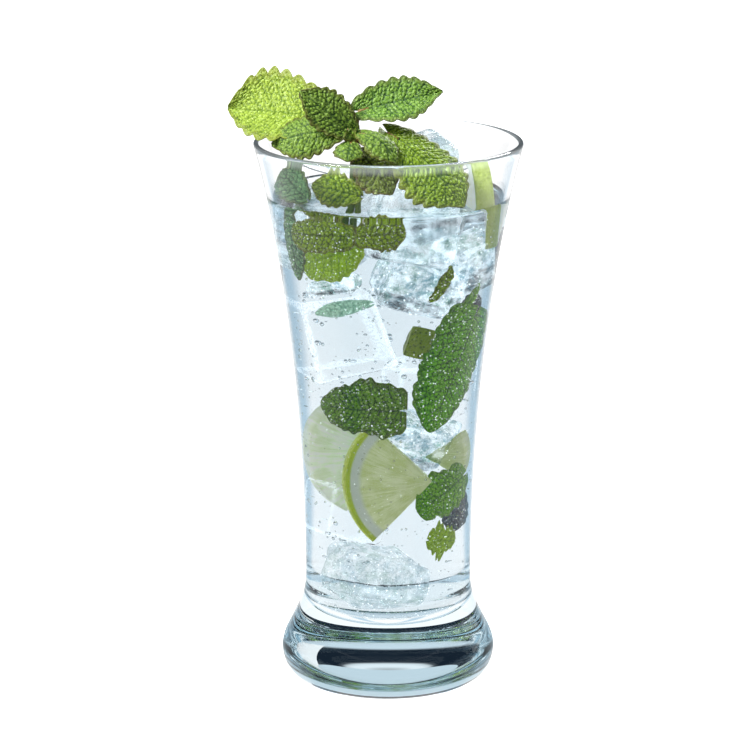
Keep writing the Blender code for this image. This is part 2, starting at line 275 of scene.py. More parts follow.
@dataclass(frozen=True)
class IceFinish:
    """Ice, clear inside, with a frost of trapped air along its edges and in patches. The frost's white is
    painted light that the ice gives off, and grey-blue painted shade lies between the patches.
    """

    name: str
    ior: float
    rime: float                   # whiteness of the edges' frost, painted as light that the ice gives off
    rime_from: float              # how far out along a face the white of the edges starts
    cloud: float                  # whiteness of the patches' frost, painted as light that the ice gives off
    cloud_from: float             # the lower, the more the patches cover
    shade: float                  # depth of the painted shade: grey-blue patches between the white ones
    scale: float                  # patches to the metre
    wave: float                   # height of the ripples in the surface
    wave_scale: float             # ripples to the metre
    roughness: float = 0.03
    grain_scale: float = 1400.0   # grains of the frost to the metre
    rime_fade: float = 0.12       # how much further out the edges reach their full white
    cloud_fade: float = 0.2       # the same for the patches
    edge_stray: float = 0.25      # unevenness of the white along the edges
    white: Colour = (0.50, 0.54, 0.56)
    frost_painted_light: Colour = (0.45, 0.50, 0.53)
    painted_blue_shade: Colour = (0.15, 0.31, 0.37)
    painted_green_shade: Colour = (0.17, 0.35, 0.27)

    def material(self) -> bpy.types.Material:
        """Makes the Principled material, which reads the mesh's edge numbers.

        Returns:
            The material.
        """
        shader = Shader(self.name)
        place = shader.place()
        broad = shader.noise(place, self.scale, 4.0, 0.6)
        fine = shader.noise(place, self.grain_scale, 3.0, 0.6)
        edge = shader.attribute("edge") + (broad - 0.5) * self.edge_stray
        rime = edge.band(self.rime_from, self.rime_from + self.rime_fade) * fine.band(0.3, 0.6)
        patch = broad.band(self.cloud_from, self.cloud_from + self.cloud_fade)
        frost = (rime * self.rime + patch * self.cloud).clamped()
        # painted shade: grey-blue and grey-green patches darken the clear ice between the white ones
        painted_shade_mask = shader.noise(place, self.scale * 1.7, 4.0, 0.65).band(0.37, 0.57) * self.shade
        blue_or_green = shader.noise(place, self.scale * 0.6, 2.0).band(0.45, 0.6)
        tint = shader.mix(blue_or_green, self.painted_blue_shade, self.painted_green_shade)
        clear = shader.mix(painted_shade_mask * fine.band(0.20, 0.60), WHITE, tint)
        # painted light: where there is frost, the ice gives off a pale light of its own
        glow = shader.mix((frost * (fine + 0.5)).clamped(), BLACK, self.frost_painted_light)
        shader.set(Base_Color=shader.mix(frost, clear, self.white), Transmission_Weight=1.0)
        shader.set(Roughness=rime * 0.35 + patch * 0.15 + self.roughness, IOR=self.ior)
        shader.set(Emission_Color=glow, Emission_Strength=1.0)
        shader.bump(shader.noise(place, self.wave_scale) + fine * 0.25, self.wave)
        return shader.material


@dataclass(frozen=True)
class MintFinish:
    """A mint leaf's skin: its green, lighter on the puckers' tops as painted light and darker in the valleys
    between them as painted shade, with painted glints.
    """

    name: str
    crown_painted_light: Colour                 # of a pucker's top: the leaf's green, lighter there as painted light
    valley_painted_shade: Colour                # of the veins' net between the puckers: darker there as painted shade
    edge: Colour                  # of the teeth
    gloss: float = 0.34
    glow: float = 0.10            # painted light: the leaf gives off light in its own colour, standing for light that comes through it
    painted_glint_colour: Colour = (0.60, 0.80, 0.26)
    mottle_scale: float = 420.0   # features to the metre, like the three below
    painted_glint_scale: float = 1700.0
    grain_scale: float = 2600.0
    pore_scale: float = 1500.0
    pore_depth: float = 0.00035

    def material(self) -> bpy.types.Material:
        """Makes the leaf's material, which reads the mesh's relief and rim numbers.

        Returns:
            The material.
        """
        shader = Shader(self.name)
        place = shader.place()
        mottle = shader.noise(place, self.mottle_scale)
        grain = shader.noise(place, self.grain_scale, 2.0)
        height = shader.attribute("relief") + (mottle - 0.5) * 0.5 + (grain - 0.5) * 0.3
        # painted light and shade: the colour goes from the valleys' to the tops' with the height of the
        # relief
        skin = shader.mix(height.band(0.12, 0.95), self.valley_painted_shade, self.crown_painted_light)
        skin = shader.mix(shader.attribute("rim").band(0.70, 1.0) * 0.7, skin, self.edge)
        # painted glint: pale specks on the puckers' tops
        painted_glint = shader.noise(place, self.painted_glint_scale, 2.0).band(0.56, 0.68) * height.band(0.3, 0.9)
        skin = shader.mix(painted_glint * 0.45, skin, self.painted_glint_colour)
        shader.set(Base_Color=skin, IOR=1.36, Roughness=self.gloss + (mottle - 0.5) * 0.2)
        # painted light: the leaf gives off light in its own colour
        shader.set(Emission_Color=skin, Emission_Strength=self.glow)
        shader.bump(shader.cells(place, self.pore_scale) * 0.6 + grain * 0.4, self.pore_depth)
        return shader.material


@dataclass(frozen=True)
class StemFinish:
    """A mint stem's skin: green low down, reddish brown above, with paler streaks along it."""

    name: str
    dark: Colour
    pale: Colour
    green: Colour = (0.12, 0.20, 0.03)
    green_below: float = 0.1555   # height under which it is green
    brown_above: float = 0.1600   # height above which no green is left
    streak_scale: float = 2200.0  # streaks to the metre
    stretch: Point = (1.0, 1.0, 0.12)  # makes the streaks long
    depth: float = 0.0001

    def material(self) -> bpy.types.Material:
        """Makes the stem's material.

        Returns:
            The material.
        """
        shader = Shader(self.name)
        streaks = shader.noise(shader.place(self.stretch), self.streak_scale)
        skin = shader.mix(streaks.band(0.35, 0.7), self.dark, self.pale)
        low = shader.height().band(self.brown_above, self.green_below)
        shader.set(Base_Color=shader.mix(low, skin, self.green), Roughness=0.4 + streaks * 0.2)
        shader.bump(streaks, self.depth)
        return shader.material


@dataclass(frozen=True)
class LimeFinish:
    """A cut lime: rind, pith and juicy flesh parted by thin walls."""

    name: str
    rind: Colour
    rind_pale: Colour
    pith: Colour
    flesh: Colour
    flesh_pale: Colour
    segments: float = 9.0         # to the full turn
    # painted light: strength of the light the lime gives off in its own colour
    glow: float = 0.35
    mottle_scale: float = 260.0   # blotches to the metre
    pore_scale: float = 900.0     # pores of the rind to the metre
    pore_depth: float = 0.00025
    pith_band: tuple[float, float] = (0.78, 0.84)  # reach over which flesh turns to pith
    rind_band: tuple[float, float] = (0.91, 0.94)  # reach over which pith turns to rind

    def material(self) -> bpy.types.Material:
        """Makes the material, which reads the mesh's reach, turn and skin numbers.

        Returns:
            The material.
        """
        shader = Shader(self.name)
        reach, turn, skin = (shader.attribute(name) for name in ("reach", "turn", "skin"))
        place = shader.place()
        mottle = shader.noise(place, self.mottle_scale, 4.0)
        pores = shader.cells(place, self.pore_scale)
        walls = (turn * (self.segments / 2)).sine().fold().band(0.10, 0.0)
        polar = shader.node("ShaderNodeCombineXYZ", {}, {0: turn * 16.0, 1: reach * 2.5})
        juice = shader.noise(polar, 1.3, 3.0, 0.6)
        flesh = shader.mix((juice + mottle - 0.5).band(0.3, 0.7), self.flesh, self.flesh_pale)
        flesh = shader.mix(walls * 0.5, flesh, self.flesh_pale)
        cut = shader.mix((reach + (mottle - 0.5) * 0.04).band(*self.pith_band), flesh, self.pith)
        cut = shader.mix((reach + (mottle - 0.5) * 0.02).band(*self.rind_band), cut, self.rind)
        peel = shader.mix((pores + mottle * 0.3).band(0.2, 0.6), self.rind, self.rind_pale)
        colour = shader.mix(skin.band(0.4, 0.6), cut, peel)
        shader.set(Base_Color=colour, Roughness=0.28 + mottle * 0.2, IOR=1.4)
        # painted light: the lime gives off light in its own colour
        shader.set(Emission_Color=colour, Emission_Strength=self.glow)
        shader.bump(pores * skin + mottle * 0.5, self.pore_depth)
        return shader.material


@dataclass(frozen=True)
class GlowFinish:
    """A surface that shines by itself and reflects nothing."""

    name: str
    colour: Colour
    strength: float = 1.0
    corners: Colour | None = None  # of its four diagonals, where that differs
    corner_from: float = 0.86      # how near to a diagonal that colour starts; 1 is on it

    def material(self) -> bpy.types.Material:
        """Makes the material.

        Returns:
            The material.
        """
        shader = Shader(self.name)
        colour = self.colour
        if self.corners:
            x = shader.node("ShaderNodeSeparateXYZ", {}, {0: shader.place()}, "X")
            y = x.beside("Y")
            diagonal = (x * y).fold() * 2.0 / (x * x + y * y)
            colour = shader.mix(diagonal.band(self.corner_from, 1.0), self.colour, self.corners)
        shader.set(Base_Color=BLACK, Specular_IOR_Level=0.0, Roughness=1.0)
        shader.set(Emission_Color=colour, Emission_Strength=self.strength)
        return shader.material


@dataclass(frozen=True)
class TableFinish:
    """A table top that glows white, with a faint mirror gloss."""

    name: str
    glow: float
    sheen: float

    def material(self) -> bpy.types.Material:
        """Makes the table's material.

        Returns:
            The material.
        """
        shader = Shader(self.name)
        shader.set(Base_Color=(0.8, 0.8, 0.8), Roughness=0.10, IOR=1.3)
        shader.set(Specular_IOR_Level=self.sheen)
        shader.set(Emission_Color=WHITE, Emission_Strength=self.glow)
        return shader.material


# ---- Meshes -------------------------------------------------------------------------------------
class MeshParts:
    """Gathers closed shells into one mesh, with a number for each point where a finish reads one."""

    def __init__(self, numbers: Sequence[str] = ()) -> None:
        """Starts an empty mesh.

        Args:
            numbers: The names of the numbers that each point holds.
        """
        self.points: list[np.ndarray] = []
        self.faces: Faces = []
        self.slots: list[int] = []
        self.numbers: dict[str, list[np.ndarray]] = {name: [] for name in numbers}
        self.count = 0

    def add(
        self,
        points: np.ndarray,
        faces: Iterable[tuple[int, ...]],
        slot: int = 0,
        **numbers: np.ndarray,
    ) -> None:
        """Adds one shell.

        Args:
            points: Its points, one to a row.
            faces: Its faces, as indices into points.
            slot: The material slot of its faces.
            numbers: For each number's name, its value at each point.
        """
        start = self.count
        self.points.append(points)
        for face in faces:
            self.faces.append(tuple(start + i for i in face))
            self.slots.append(slot)
        for name, values in self.numbers.items():
            values.append(numbers.get(name, np.zeros(len(points))))
        self.count += len(points)

    def build(self, name: str, finishes: Sequence[bpy.types.Material]) -> bpy.types.Object:
        """Makes the object.

        Args:
            name: The piece's name.
            finishes: A material for each slot.

        Returns:
            The object, at the origin, with its faces pointing outwards.
        """
        mesh = bpy.data.meshes.new(name)
        mesh.from_pydata(np.concatenate(self.points).tolist(), [], self.faces)
        for finish in finishes:
            mesh.materials.append(finish)
        mesh.polygons.foreach_set("material_index", self.slots)
        for number, values in self.numbers.items():
            hold_number(mesh, number, np.concatenate(values))
        closed_outwards(mesh)
        mesh.shade_smooth()
        return shown(name, mesh)


def hold_number(mesh: bpy.types.Mesh, name: str, values: np.ndarray) -> None:
    """Stores a number for each point of a mesh under a name."""
    held = mesh.attributes.new(name, "FLOAT", "POINT")
    held.data.foreach_set("value", values.astype(np.float32))


def closed_outwards(mesh: bpy.types.Mesh, distance: float = 1e-7) -> None:
    """Merges points that coincide and turns every shell's faces outwards.

    Args:
        mesh: The mesh, which is changed.
        distance: Points nearer than this are merged.
    """
    work = bmesh.new()
    work.from_mesh(mesh)
    bmesh.ops.remove_doubles(work, verts=work.verts, dist=distance)
    bmesh.ops.recalc_face_normals(work, faces=work.faces)
    work.to_mesh(mesh)
    work.free()
    mesh.update()


def shown(name: str, data: bpy.types.ID) -> bpy.types.Object:
    """A mesh, a light or a camera as an object of the scene.

    Args:
        name: The object's name.
        data: What it holds.

    Returns:
        The object, at the origin.
    """
    made = bpy.data.objects.new(name, data)
    bpy.context.scene.collection.objects.link(made)
    return made


def settled(source: bpy.types.Object, name: str) -> bpy.types.Object:
    """An object's evaluated mesh, with its place, as a new object at the origin.

    Args:
        source: The object with its modifiers, which is removed.
        name: The new object's name.

    Returns:
        The plain mesh object.
    """
    graph = bpy.context.evaluated_depsgraph_get()
    mesh = bpy.data.meshes.new_from_object(source.evaluated_get(graph))
    mesh.transform(source.matrix_world)
    bpy.data.objects.remove(source, do_unlink=True)
    mesh.name = name
    return shown(name, mesh)


def sheet_faces(rows: int, columns: int, start: int = 0) -> Faces:
    """The quads of a grid of points that runs column by column within each row."""
    corners = [start + i * columns + j for i in range(rows - 1) for j in range(columns - 1)]
    return [(c, c + 1, c + columns + 1, c + columns) for c in corners]


def rim_faces(rows: int, columns: int, below: int) -> Faces:
    """The quads that join a grid's border to that of a like grid.

    Args:
        rows: The grid's rows.
        columns: Its columns.
        below: How many points further on the like grid starts.

    Returns:
        The faces.
    """
    top = list(range(columns))
    right = [i * columns + columns - 1 for i in range(1, rows)]
    bottom = [(rows - 1) * columns + j for j in range(columns - 2, -1, -1)]
    left = [i * columns for i in range(rows - 2, 0, -1)]
    ring = top + right + bottom + left
    return [(a, b, b + below, a + below) for a, b in zip(ring, ring[1:] + ring[:1])]


def smoothstep(share: float) -> float:
    """0 to 1 with a level start and end."""
    return share * share * (3 - 2 * share)


def spaced(low: float, high: float, count: int) -> list[float]:
    """count values from low to high, both ends included."""
    return [low + (high - low) * i / (count - 1) for i in range(count)]


# ---- Geometry Nodes -----------------------------------------------------------------------------
class NodeForm(Graph):
    """A Geometry Nodes tree with named inputs, and its use on an object."""

    def __init__(self, name: str, inputs: dict[str, tuple[str, object]]) -> None:
        """Starts a tree that takes and gives geometry.

        Args:
            name: The tree's name.
            inputs: For each named input, its socket type and its value, or None for a material.
        """
        super().__init__(bpy.data.node_groups.new(name, "GeometryNodeTree"))
        face = self.tree.interface
        face.new_socket("Geometry", in_out="OUTPUT", socket_type="NodeSocketGeometry")
        self.identifiers: dict[str, str] = {}
        for label, (kind, value) in {"Geometry": ("NodeSocketGeometry", None), **inputs}.items():
            socket = face.new_socket(label, in_out="INPUT", socket_type=kind)
            if value is not None:
                socket.default_value = value
            self.identifiers[label] = socket.identifier
        entry = self.tree.nodes.new("NodeGroupInput")
        self.given = {label: Signal(self, entry.outputs[label]) for label in self.identifiers}
        self.result = self.tree.nodes.new("NodeGroupOutput")

    def finish(self, geometry: Signal) -> None:
        """Ends the tree in real, smooth mesh with the Finish that it is given.

        Args:
            geometry: The tree's geometry.
        """
        real = self.node("GeometryNodeRealizeInstances", {}, {"Geometry": geometry})
        smooth = self.node("GeometryNodeSetShadeSmooth", {}, {"Geometry": real})
        dress = {"Geometry": smooth, "Material": self.given["Finish"]}
        self.join(self.result.inputs[0], self.node("GeometryNodeSetMaterial", {}, dress))

    def applied(
        self, source: bpy.types.Object, name: str, values: dict[str, object]
    ) -> bpy.types.Object:
        """Runs the tree on an object and keeps the outcome as a plain mesh.

        Args:
            source: The object that the tree takes, which is removed.
            name: The new piece's name.
            values: A value for each named input that differs from its default.

        Returns:
            The new piece.
        """
        modifier = source.modifiers.new("form", "NODES")
        modifier.node_group = self.tree
        for label, value in values.items():
            modifier[self.identifiers[label]] = value
        source.update_tag()
        bpy.context.view_layer.update()
        return settled(source, name)


def turning_form() -> NodeForm:
    """The tree that turns a profile about Z: a grid whose rows are the profile's points.

    Returns:
        The tree, with the inputs Flats, Profile Points and Finish.
    """
    form = NodeForm(
        "turned_form",
        {
            "Flats": ("NodeSocketInt", 144),
            "Profile Points": ("NodeSocketInt", 100),
            "Finish": ("NodeSocketMaterial", None),
        },
    )
    given = form.given
    rows = given["Profile Points"]
    size = {"Vertices X": given["Flats"] + 1.0, "Vertices Y": rows}
    sheet = form.node("GeometryNodeMeshGrid", {}, size, "Mesh")
    position = form.node("GeometryNodeInputPosition")
    across = form.node("ShaderNodeSeparateXYZ", {}, {0: position}, "X")
    row = (across.beside("Y") + 0.5) * (rows - 1.0)
    profile_point = form.node(
        "GeometryNodeSampleIndex",
        {"data_type": "FLOAT_VECTOR", "domain": "POINT"},
        {"Geometry": given["Geometry"], "Value": position, "Index": row.rounded()},
    )
    turned = form.node(
        "ShaderNodeVectorRotate",
        {"rotation_type": "Z_AXIS"},
        {"Vector": profile_point, "Angle": (across + 0.5) * math.tau},
    )
    placed = form.node("GeometryNodeSetPosition", {}, {"Geometry": sheet, "Position": turned})
    closed = form.node("GeometryNodeMergeByDistance", {}, {"Geometry": placed, "Distance": 1e-6})
    form.finish(closed)
    return form


def bubble_form() -> NodeForm:
    """The tree that strews small spheres over the faces it is given, most of them near the smallest.

    Returns:
        The tree, with the inputs Density, Smallest, Largest, Lift, Seed and Finish.
    """
    form = NodeForm(
        "bubbles_on_faces",
        {
            "Density": ("NodeSocketFloat", 1e5),
            "Smallest": ("NodeSocketFloat", 0.0001),
            "Largest": ("NodeSocketFloat", 0.0004),
            "Lift": ("NodeSocketFloat", 1.0),
            "Seed": ("NodeSocketInt", 1),
            "Finish": ("NodeSocketMaterial", None),
        },
    )
    given = form.given
    strewn = form.node(
        "GeometryNodeDistributePointsOnFaces",
        {"distribute_method": "RANDOM"},
        {"Mesh": given["Geometry"], "Density": given["Density"], "Seed": given["Seed"]},
        "Points",
    )
    span = {2: 0.0, 3: 1.0, "Seed": given["Seed"]}
    chance = form.node("FunctionNodeRandomValue", {"data_type": "FLOAT"}, span, 1)
    size = chance**2.4 * (given["Largest"] - given["Smallest"]) + given["Smallest"]
    outwards = {0: strewn.beside("Normal"), "Scale": size * given["Lift"]}
    offset = form.node("ShaderNodeVectorMath", {"operation": "SCALE"}, outwards)
    raised = form.node("GeometryNodeSetPosition", {}, {"Geometry": strewn, "Offset": offset})
    ball = form.node("GeometryNodeMeshIcoSphere", {}, {"Radius": 1.0, "Subdivisions": 2}, "Mesh")
    balls = {"Points": raised, "Instance": ball, "Scale": size}
    form.finish(form.node("GeometryNodeInstanceOnPoints", {}, balls))
    return form


# ---- The tumbler and its drink ------------------------------------------------------------------
@dataclass(frozen=True)
class TumblerShape:
    """The tumbler's driving sizes, and the radii that follow from them."""

    height: float = 0.162
    rim: float = 0.0395           # outer radius at the lip
    waist: float = 0.02465        # outer radius where the body is slimmest
    waist_height: float = 0.032
    foot: float = 0.0317          # outer radius where the solid foot bulges most
    foot_height: float = 0.0085
    base: float = 0.0245          # radius of the flat underside
    lip_wall: float = 0.0018
    waist_wall: float = 0.0028
    floor: float = 0.0175         # height of the inside floor at the middle
    corner: float = 0.010         # height over which the floor rounds up into the wall
    corner_power: float = 2.6     # 2 would round it as a quarter of an ellipse
    bowl_steps: int = 24
    flare: float = 2.05           # the higher, the later the body widens on its way up
    lip_flare: float = 12.0       # the same for the last turn outwards at the lip
    lip_turn: float = 0.0006      # how far the lip turns outwards
    flats: int = 160              # round the tumbler and the drink

    @property
    def corner_top(self) -> float:
        """The height at which the floor's rounding meets the wall."""
        return self.floor + self.corner

    def rise(self, height: float) -> float:
        """How far up from the waist to the lip a height lies, from 0 to 1."""
        return max(0.0, (height - self.waist_height) / (self.height - self.waist_height))

    def body(self, height: float) -> float:
        """Outer radius from the waist up."""
        share, wide = self.rise(height), self.rim - self.waist - self.lip_turn
        return self.waist + wide * share**self.flare + self.lip_turn * share**self.lip_flare

    def bulge(self, height: float) -> float:
        """Outer radius of the foot, from its widest ring up to the waist."""
        share = (self.waist_height - height) / (self.waist_height - self.foot_height)
        return self.waist + (self.foot - self.waist) * smoothstep(share**1.3)

    def wall(self, height: float) -> float:
        """Thickness of the wall, which thins from the waist to the lip."""
        return self.waist_wall + (self.lip_wall - self.waist_wall) * self.rise(height) ** 0.6

    def inside(self, height: float) -> float:
        """Radius of the inside, which rounds in near the floor.

        Args:
            height: A height inside the tumbler.

        Returns:
            The radius there.
        """
        drop = max(0.0, (self.corner_top - height) / self.corner)
        rounding = math.sqrt(max(0.0, 1 - drop**self.corner_power))
        return (self.body(height) - self.wall(height)) * rounding

    def bowl(self) -> Profile:
        """The rounded floor.

        Returns:
            (radius, height) points from the middle out.
        """
        points = [(0.0, self.floor)]
        for step in range(1, self.bowl_steps):
            share = math.sin(step / self.bowl_steps * math.pi / 2)
            height = self.floor + self.corner * (1 - (1 - share * share) ** (1 / self.corner_power))
            points.append((self.inside(height), height))
        return points


@dataclass
class Tumbler:
    """The flared tumbler with its thick clear foot."""

    form: NodeForm
    shape: TumblerShape = TumblerShape()
    wall_steps: int = 64
    bulge_steps: int = 26
    foot_steps: int = 16
    # painted glint: the lip, above 0.1605 m, gives off a faint light of its own
    finish: ClearFinish = ClearFinish(
        "clear_glass", 1.5, 0.11, 0.1605, medium=(0.45, 0.80, 0.93), density=5.0, mirror=0.25
    )

    def profile(self) -> Profile:
        """The tumbler's section.

        Returns:
            (radius, height) points from the inside floor, up, over the lip, down and under the foot.
        """
        shape = self.shape
        lip = shape.lip_wall / 2
        lip_base = shape.height - lip
        points = shape.bowl()
        points += [(shape.inside(z), z) for z in spaced(shape.corner_top, lip_base, self.wall_steps)]
        middle = shape.body(lip_base) - lip
        for angle in range(165, 0, -15):
            turn = math.radians(angle)
            points.append((middle + lip * math.cos(turn), lip_base + lip * math.sin(turn)))
        points += [(shape.body(z), z) for z in spaced(lip_base, shape.waist_height, self.wall_steps)]
        bulge = spaced(shape.waist_height, shape.foot_height, self.bulge_steps)[1:]
        points += [(shape.bulge(z), z) for z in bulge]
        for step in range(1, self.foot_steps + 1):
            turn = math.pi / 2 * step / self.foot_steps
            reach = shape.base + (shape.foot - shape.base) * math.cos(turn)
            points.append((reach, shape.foot_height * (1 - math.sin(turn))))
        return points + [(0.0, 0.0)]

    def build(self) -> bpy.types.Object:
        """Makes the tumbler, which stands for the CAD's glass.

        Returns:
            The piece.
        """
        finish = self.finish.material()
        piece = turned_piece("tumbler", self.profile(), self.form, self.shape.flats, finish)
        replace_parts(piece, "glass")
        return ride(piece)


@dataclass
class Drink:
    """The clear drink, which reaches just into the wall so that no air shows between."""

    form: NodeForm
    shape: TumblerShape = TumblerShape()
    reach: float = 0.0004         # how far it reaches into the glass
    creep: float = 0.0011         # how far the surface climbs the wall
    creep_width: float = 0.0022
    creep_steps: int = 8
    wall_steps: int = 64
    bowl_radius: float = 0.022    # of the inside where its floor starts to round up
    finish: ClearFinish = ClearFinish(
        "sparkling_drink", 1.333, medium=(0.17, 0.45, 0.60), density=9.2, mirror=0.25
    )

    def profile(self) -> Profile:
        """The drink's section.

        Returns:
            (radius, height) points from the middle of the surface, out to the wall and down inside.
        """
        shape = self.shape
        top = SURFACE + self.creep
        edge = shape.inside(top) + self.reach
        points = [(edge * share, SURFACE) for share in (0.0, 0.25, 0.5, 0.75, 0.88)]
        for share in spaced(0.0, 1.0, self.creep_steps + 1):
            reach = edge - self.reach - self.creep_width * (1 - share)
            points.append((reach, SURFACE + self.creep * share**2.2))
        sides = spaced(top, shape.corner_top, self.wall_steps)
        points += [(shape.inside(z) + self.reach, z) for z in sides]
        low = [(r + self.reach * r / self.bowl_radius, z - self.reach) for r, z in shape.bowl()]
        return points + low[::-1]

    def build(self) -> bpy.types.Object:
        """Makes the drink, which stands for the CAD's drink.

        Returns:
            The piece.
        """
        finish = self.finish.material()
        piece = turned_piece("drink_body", self.profile(), self.form, self.shape.flats, finish)
        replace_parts(piece, "drink")
        return ride(piece)


def turned_piece(
    name: str, profile: Profile, form: NodeForm, flats: int, finish: bpy.types.Material
) -> bpy.types.Object:
    """A solid of revolution, made by the turning tree.

    Args:
        name: The piece's name.
        profile: Its section, from axis to axis.
        form: The turning tree.
        flats: The number of flats round the piece.
        finish: Its material.

    Returns:
        The piece, closed and with its faces outwards.
    """
    mesh = bpy.data.meshes.new(name + "_profile")
    mesh.from_pydata([(r, 0.0, z) for r, z in profile], [], [])
    values = {"Flats": flats, "Profile Points": len(profile), "Finish": finish}
    piece = form.applied(shown(name + "_profile", mesh), name, values)
    closed_outwards(piece.data, 1e-6)
    return piece


def ride(piece: bpy.types.Object) -> bpy.types.Object:
    """Makes a piece move with the body and reports it.

    Args:
        piece: The piece.

    Returns:
        The piece.
    """
    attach(piece, BODY)
    LOG.info("%s: %d faces", piece.name, len(piece.data.polygons))
    return piece


# ---- Ice ----------------------------------------------------------------------------------------
class Frost(Enum):
    """The looks of sunk ice, as its material slots."""

    CLEAR = 0
    ROUGH = 1
    CLOUDY = 2


@dataclass(frozen=True)
class IceCube:
    """An uneven cube with melted edges: its centre, its turn in degrees and its size in edges."""

    centre: Point
    turn: Point
    size: Point
    seed: int
    node: str | None = None       # the CAD node that it stands for
    bevel: float = 0.0032
    melt: float = 0.00025         # height of the waves that melting left
    frost: Frost = Frost.CLEAR

    @property
    def rotation(self) -> Euler:
        """The turn in radians."""
        return Euler([math.radians(angle) for angle in self.turn])


@dataclass
class IceMaker:
    """Makes ice cubes, those that stand out of the drink and those that are sunk in it."""

    edge: float = 0.0220
    uneven: float = 0.0011        # how far a corner strays along each axis
    bevel_steps: int = 5
    split: int = 3                # times that each face is split in four
    wave_scale: float = 130.0     # waves of the melted surface to the metre
    finer: float = 2.6            # times as many smaller waves lie over them
    finer_share: float = 0.45     # of the larger waves' height
    seed_step: float = 7.1        # how far apart the waves of two seeds are taken
    above: IceFinish = IceFinish(
        "ice_above", 1.31, 0.7, 0.84, 0.8, 0.46, 0.3, 240.0, 0.0005, 420.0
    )
    wet: IceFinish = IceFinish(
        "ice_wet", 1.08, 0.8, 0.80, 0.75, 0.44, 0.5, 220.0, 0.0005, 420.0
    )
    below: tuple[IceFinish, ...] = (  # for each kind of Frost
        IceFinish("ice_below", 1.008, 0.9, 0.80, 0.05, 0.55, 0.0, 120.0, 0.00005, 200.0),
        IceFinish("ice_rough", 1.06, 0.9, 0.78, 0.9, 0.46, 1.0, 230.0, 0.0006, 520.0, 0.06),
        IceFinish("ice_cloudy", 1.012, 0.4, 0.86, 0.5, 0.50, 0.60, 200.0, 0.0002, 420.0, 0.08),
    )
    looks: list[bpy.types.Material] = field(init=False)

    def __post_init__(self) -> None:
        """Makes the materials of the sunk ice."""
        self.looks = [finish.material() for finish in self.below]

    def mesh(self, cube: IceCube) -> bpy.types.Object:
        """One cube as a fine mesh.

        Args:
            cube: Its place and size.

        Returns:
            The plain mesh object, which has a number for how near each point is to an edge.
        """
        bpy.ops.mesh.primitive_cube_add(size=1.0)
        piece = bpy.context.active_object
        stray = random.Random(cube.seed)
        for corner in piece.data.vertices:
            for axis in range(3):
                half = self.edge * cube.size[axis] / 2
                side = math.copysign(half, corner.co[axis])
                corner.co[axis] = side + stray.uniform(-self.uneven, self.uneven)
        piece.location = cube.centre
        piece.rotation_euler = cube.rotation
        bevel = piece.modifiers.new("melted_edges", "BEVEL")
        bevel.width = cube.bevel
        bevel.segments = self.bevel_steps
        fine = piece.modifiers.new("fine", "SUBSURF")
        fine.subdivision_type = "SIMPLE"
        fine.levels = fine.render_levels = self.split
        bpy.context.view_layer.update()
        made = settled(piece, cube.node or f"ice_{cube.seed}")
        closed_outwards(made.data, 1e-6)
        self.wave(made.data, cube)
        return made

    def wave(self, mesh: bpy.types.Mesh, cube: IceCube) -> None:
        """Moves the surface in and out a little, as melting does, and stores its edge numbers.

        Args:
            mesh: The cube's mesh, which is changed.
            cube: The cube.
        """
        normals = np.array([v.normal for v in mesh.vertices])
        points = np.array([v.co for v in mesh.vertices])
        rise = np.empty(len(points))
        for i, point in enumerate(points):
            at = Vector(point) * self.wave_scale + Vector((cube.seed * self.seed_step, 0.0, 0.0))
            rise[i] = noise.noise(at) + self.finer_share * noise.noise(at * self.finer)
        local = np.abs((points - np.array(cube.centre)) @ np.array(cube.rotation.to_matrix()))
        local /= self.edge * np.array(cube.size) / 2
        hold_number(mesh, "edge", np.sort(local, axis=1)[:, 1])
        points += normals * (rise * cube.melt - cube.melt * 0.6)[:, None]
        mesh.vertices.foreach_set("co", points.ravel())
        mesh.update()
        mesh.shade_smooth()

    def standing(self, cubes: Sequence[IceCube]) -> None:
        """Makes the cubes that stand out of the drink, each for its CAD node.

        Args:
            cubes: The cubes.
        """
        finishes = (self.above.material(), self.wet.material())
        for cube in cubes:
            piece = self.mesh(cube)
            piece.name = cube.node.replace("ice_cube", "standing_ice")
            for finish in finishes:
                piece.data.materials.append(finish)
            wet = [int(face.center.z < SURFACE) for face in piece.data.polygons]
            piece.data.polygons.foreach_set("material_index", wet)
            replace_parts(piece, cube.node)
            ride(piece)

    def sunk(self, name: str, cubes: Sequence[IceCube]) -> bpy.types.Object:
        """Makes cubes that are wholly sunk, as one piece.

        Args:
            name: The piece's name.
            cubes: The cubes.

        Returns:
            The piece.
        """
        work = bmesh.new()
        for cube in cubes:
            piece = self.mesh(cube)
            for face in piece.data.polygons:
                face.material_index = cube.frost.value
            work.from_mesh(piece.data)
            bpy.data.objects.remove(piece, do_unlink=True)
        mesh = bpy.data.meshes.new(name)
        work.to_mesh(mesh)
        work.free()
        for look in self.looks:
            mesh.materials.append(look)
        mesh.shade_smooth()
        return ride(shown(name, mesh))


# ---- Mint ---------------------------------------------------------------------------------------
class Green(Enum):
    """The looks of leaf, as the material slots of a mint piece."""

    BRIGHT = 0
    DARK = 1
    COOL = 2
    RUSSET = 3
    FRESH = 4
    MEADOW = 5
    SOAKED = 6
    SOAKED_BRIGHT = 7
    SOAKED_FRESH = 8
    SOAKED_DEEP = 9
    SOAKED_OLIVE = 10
    PAINTED_SHADE = 11
    PAINTED_ICE_VEIL = 12
    STEM = 13


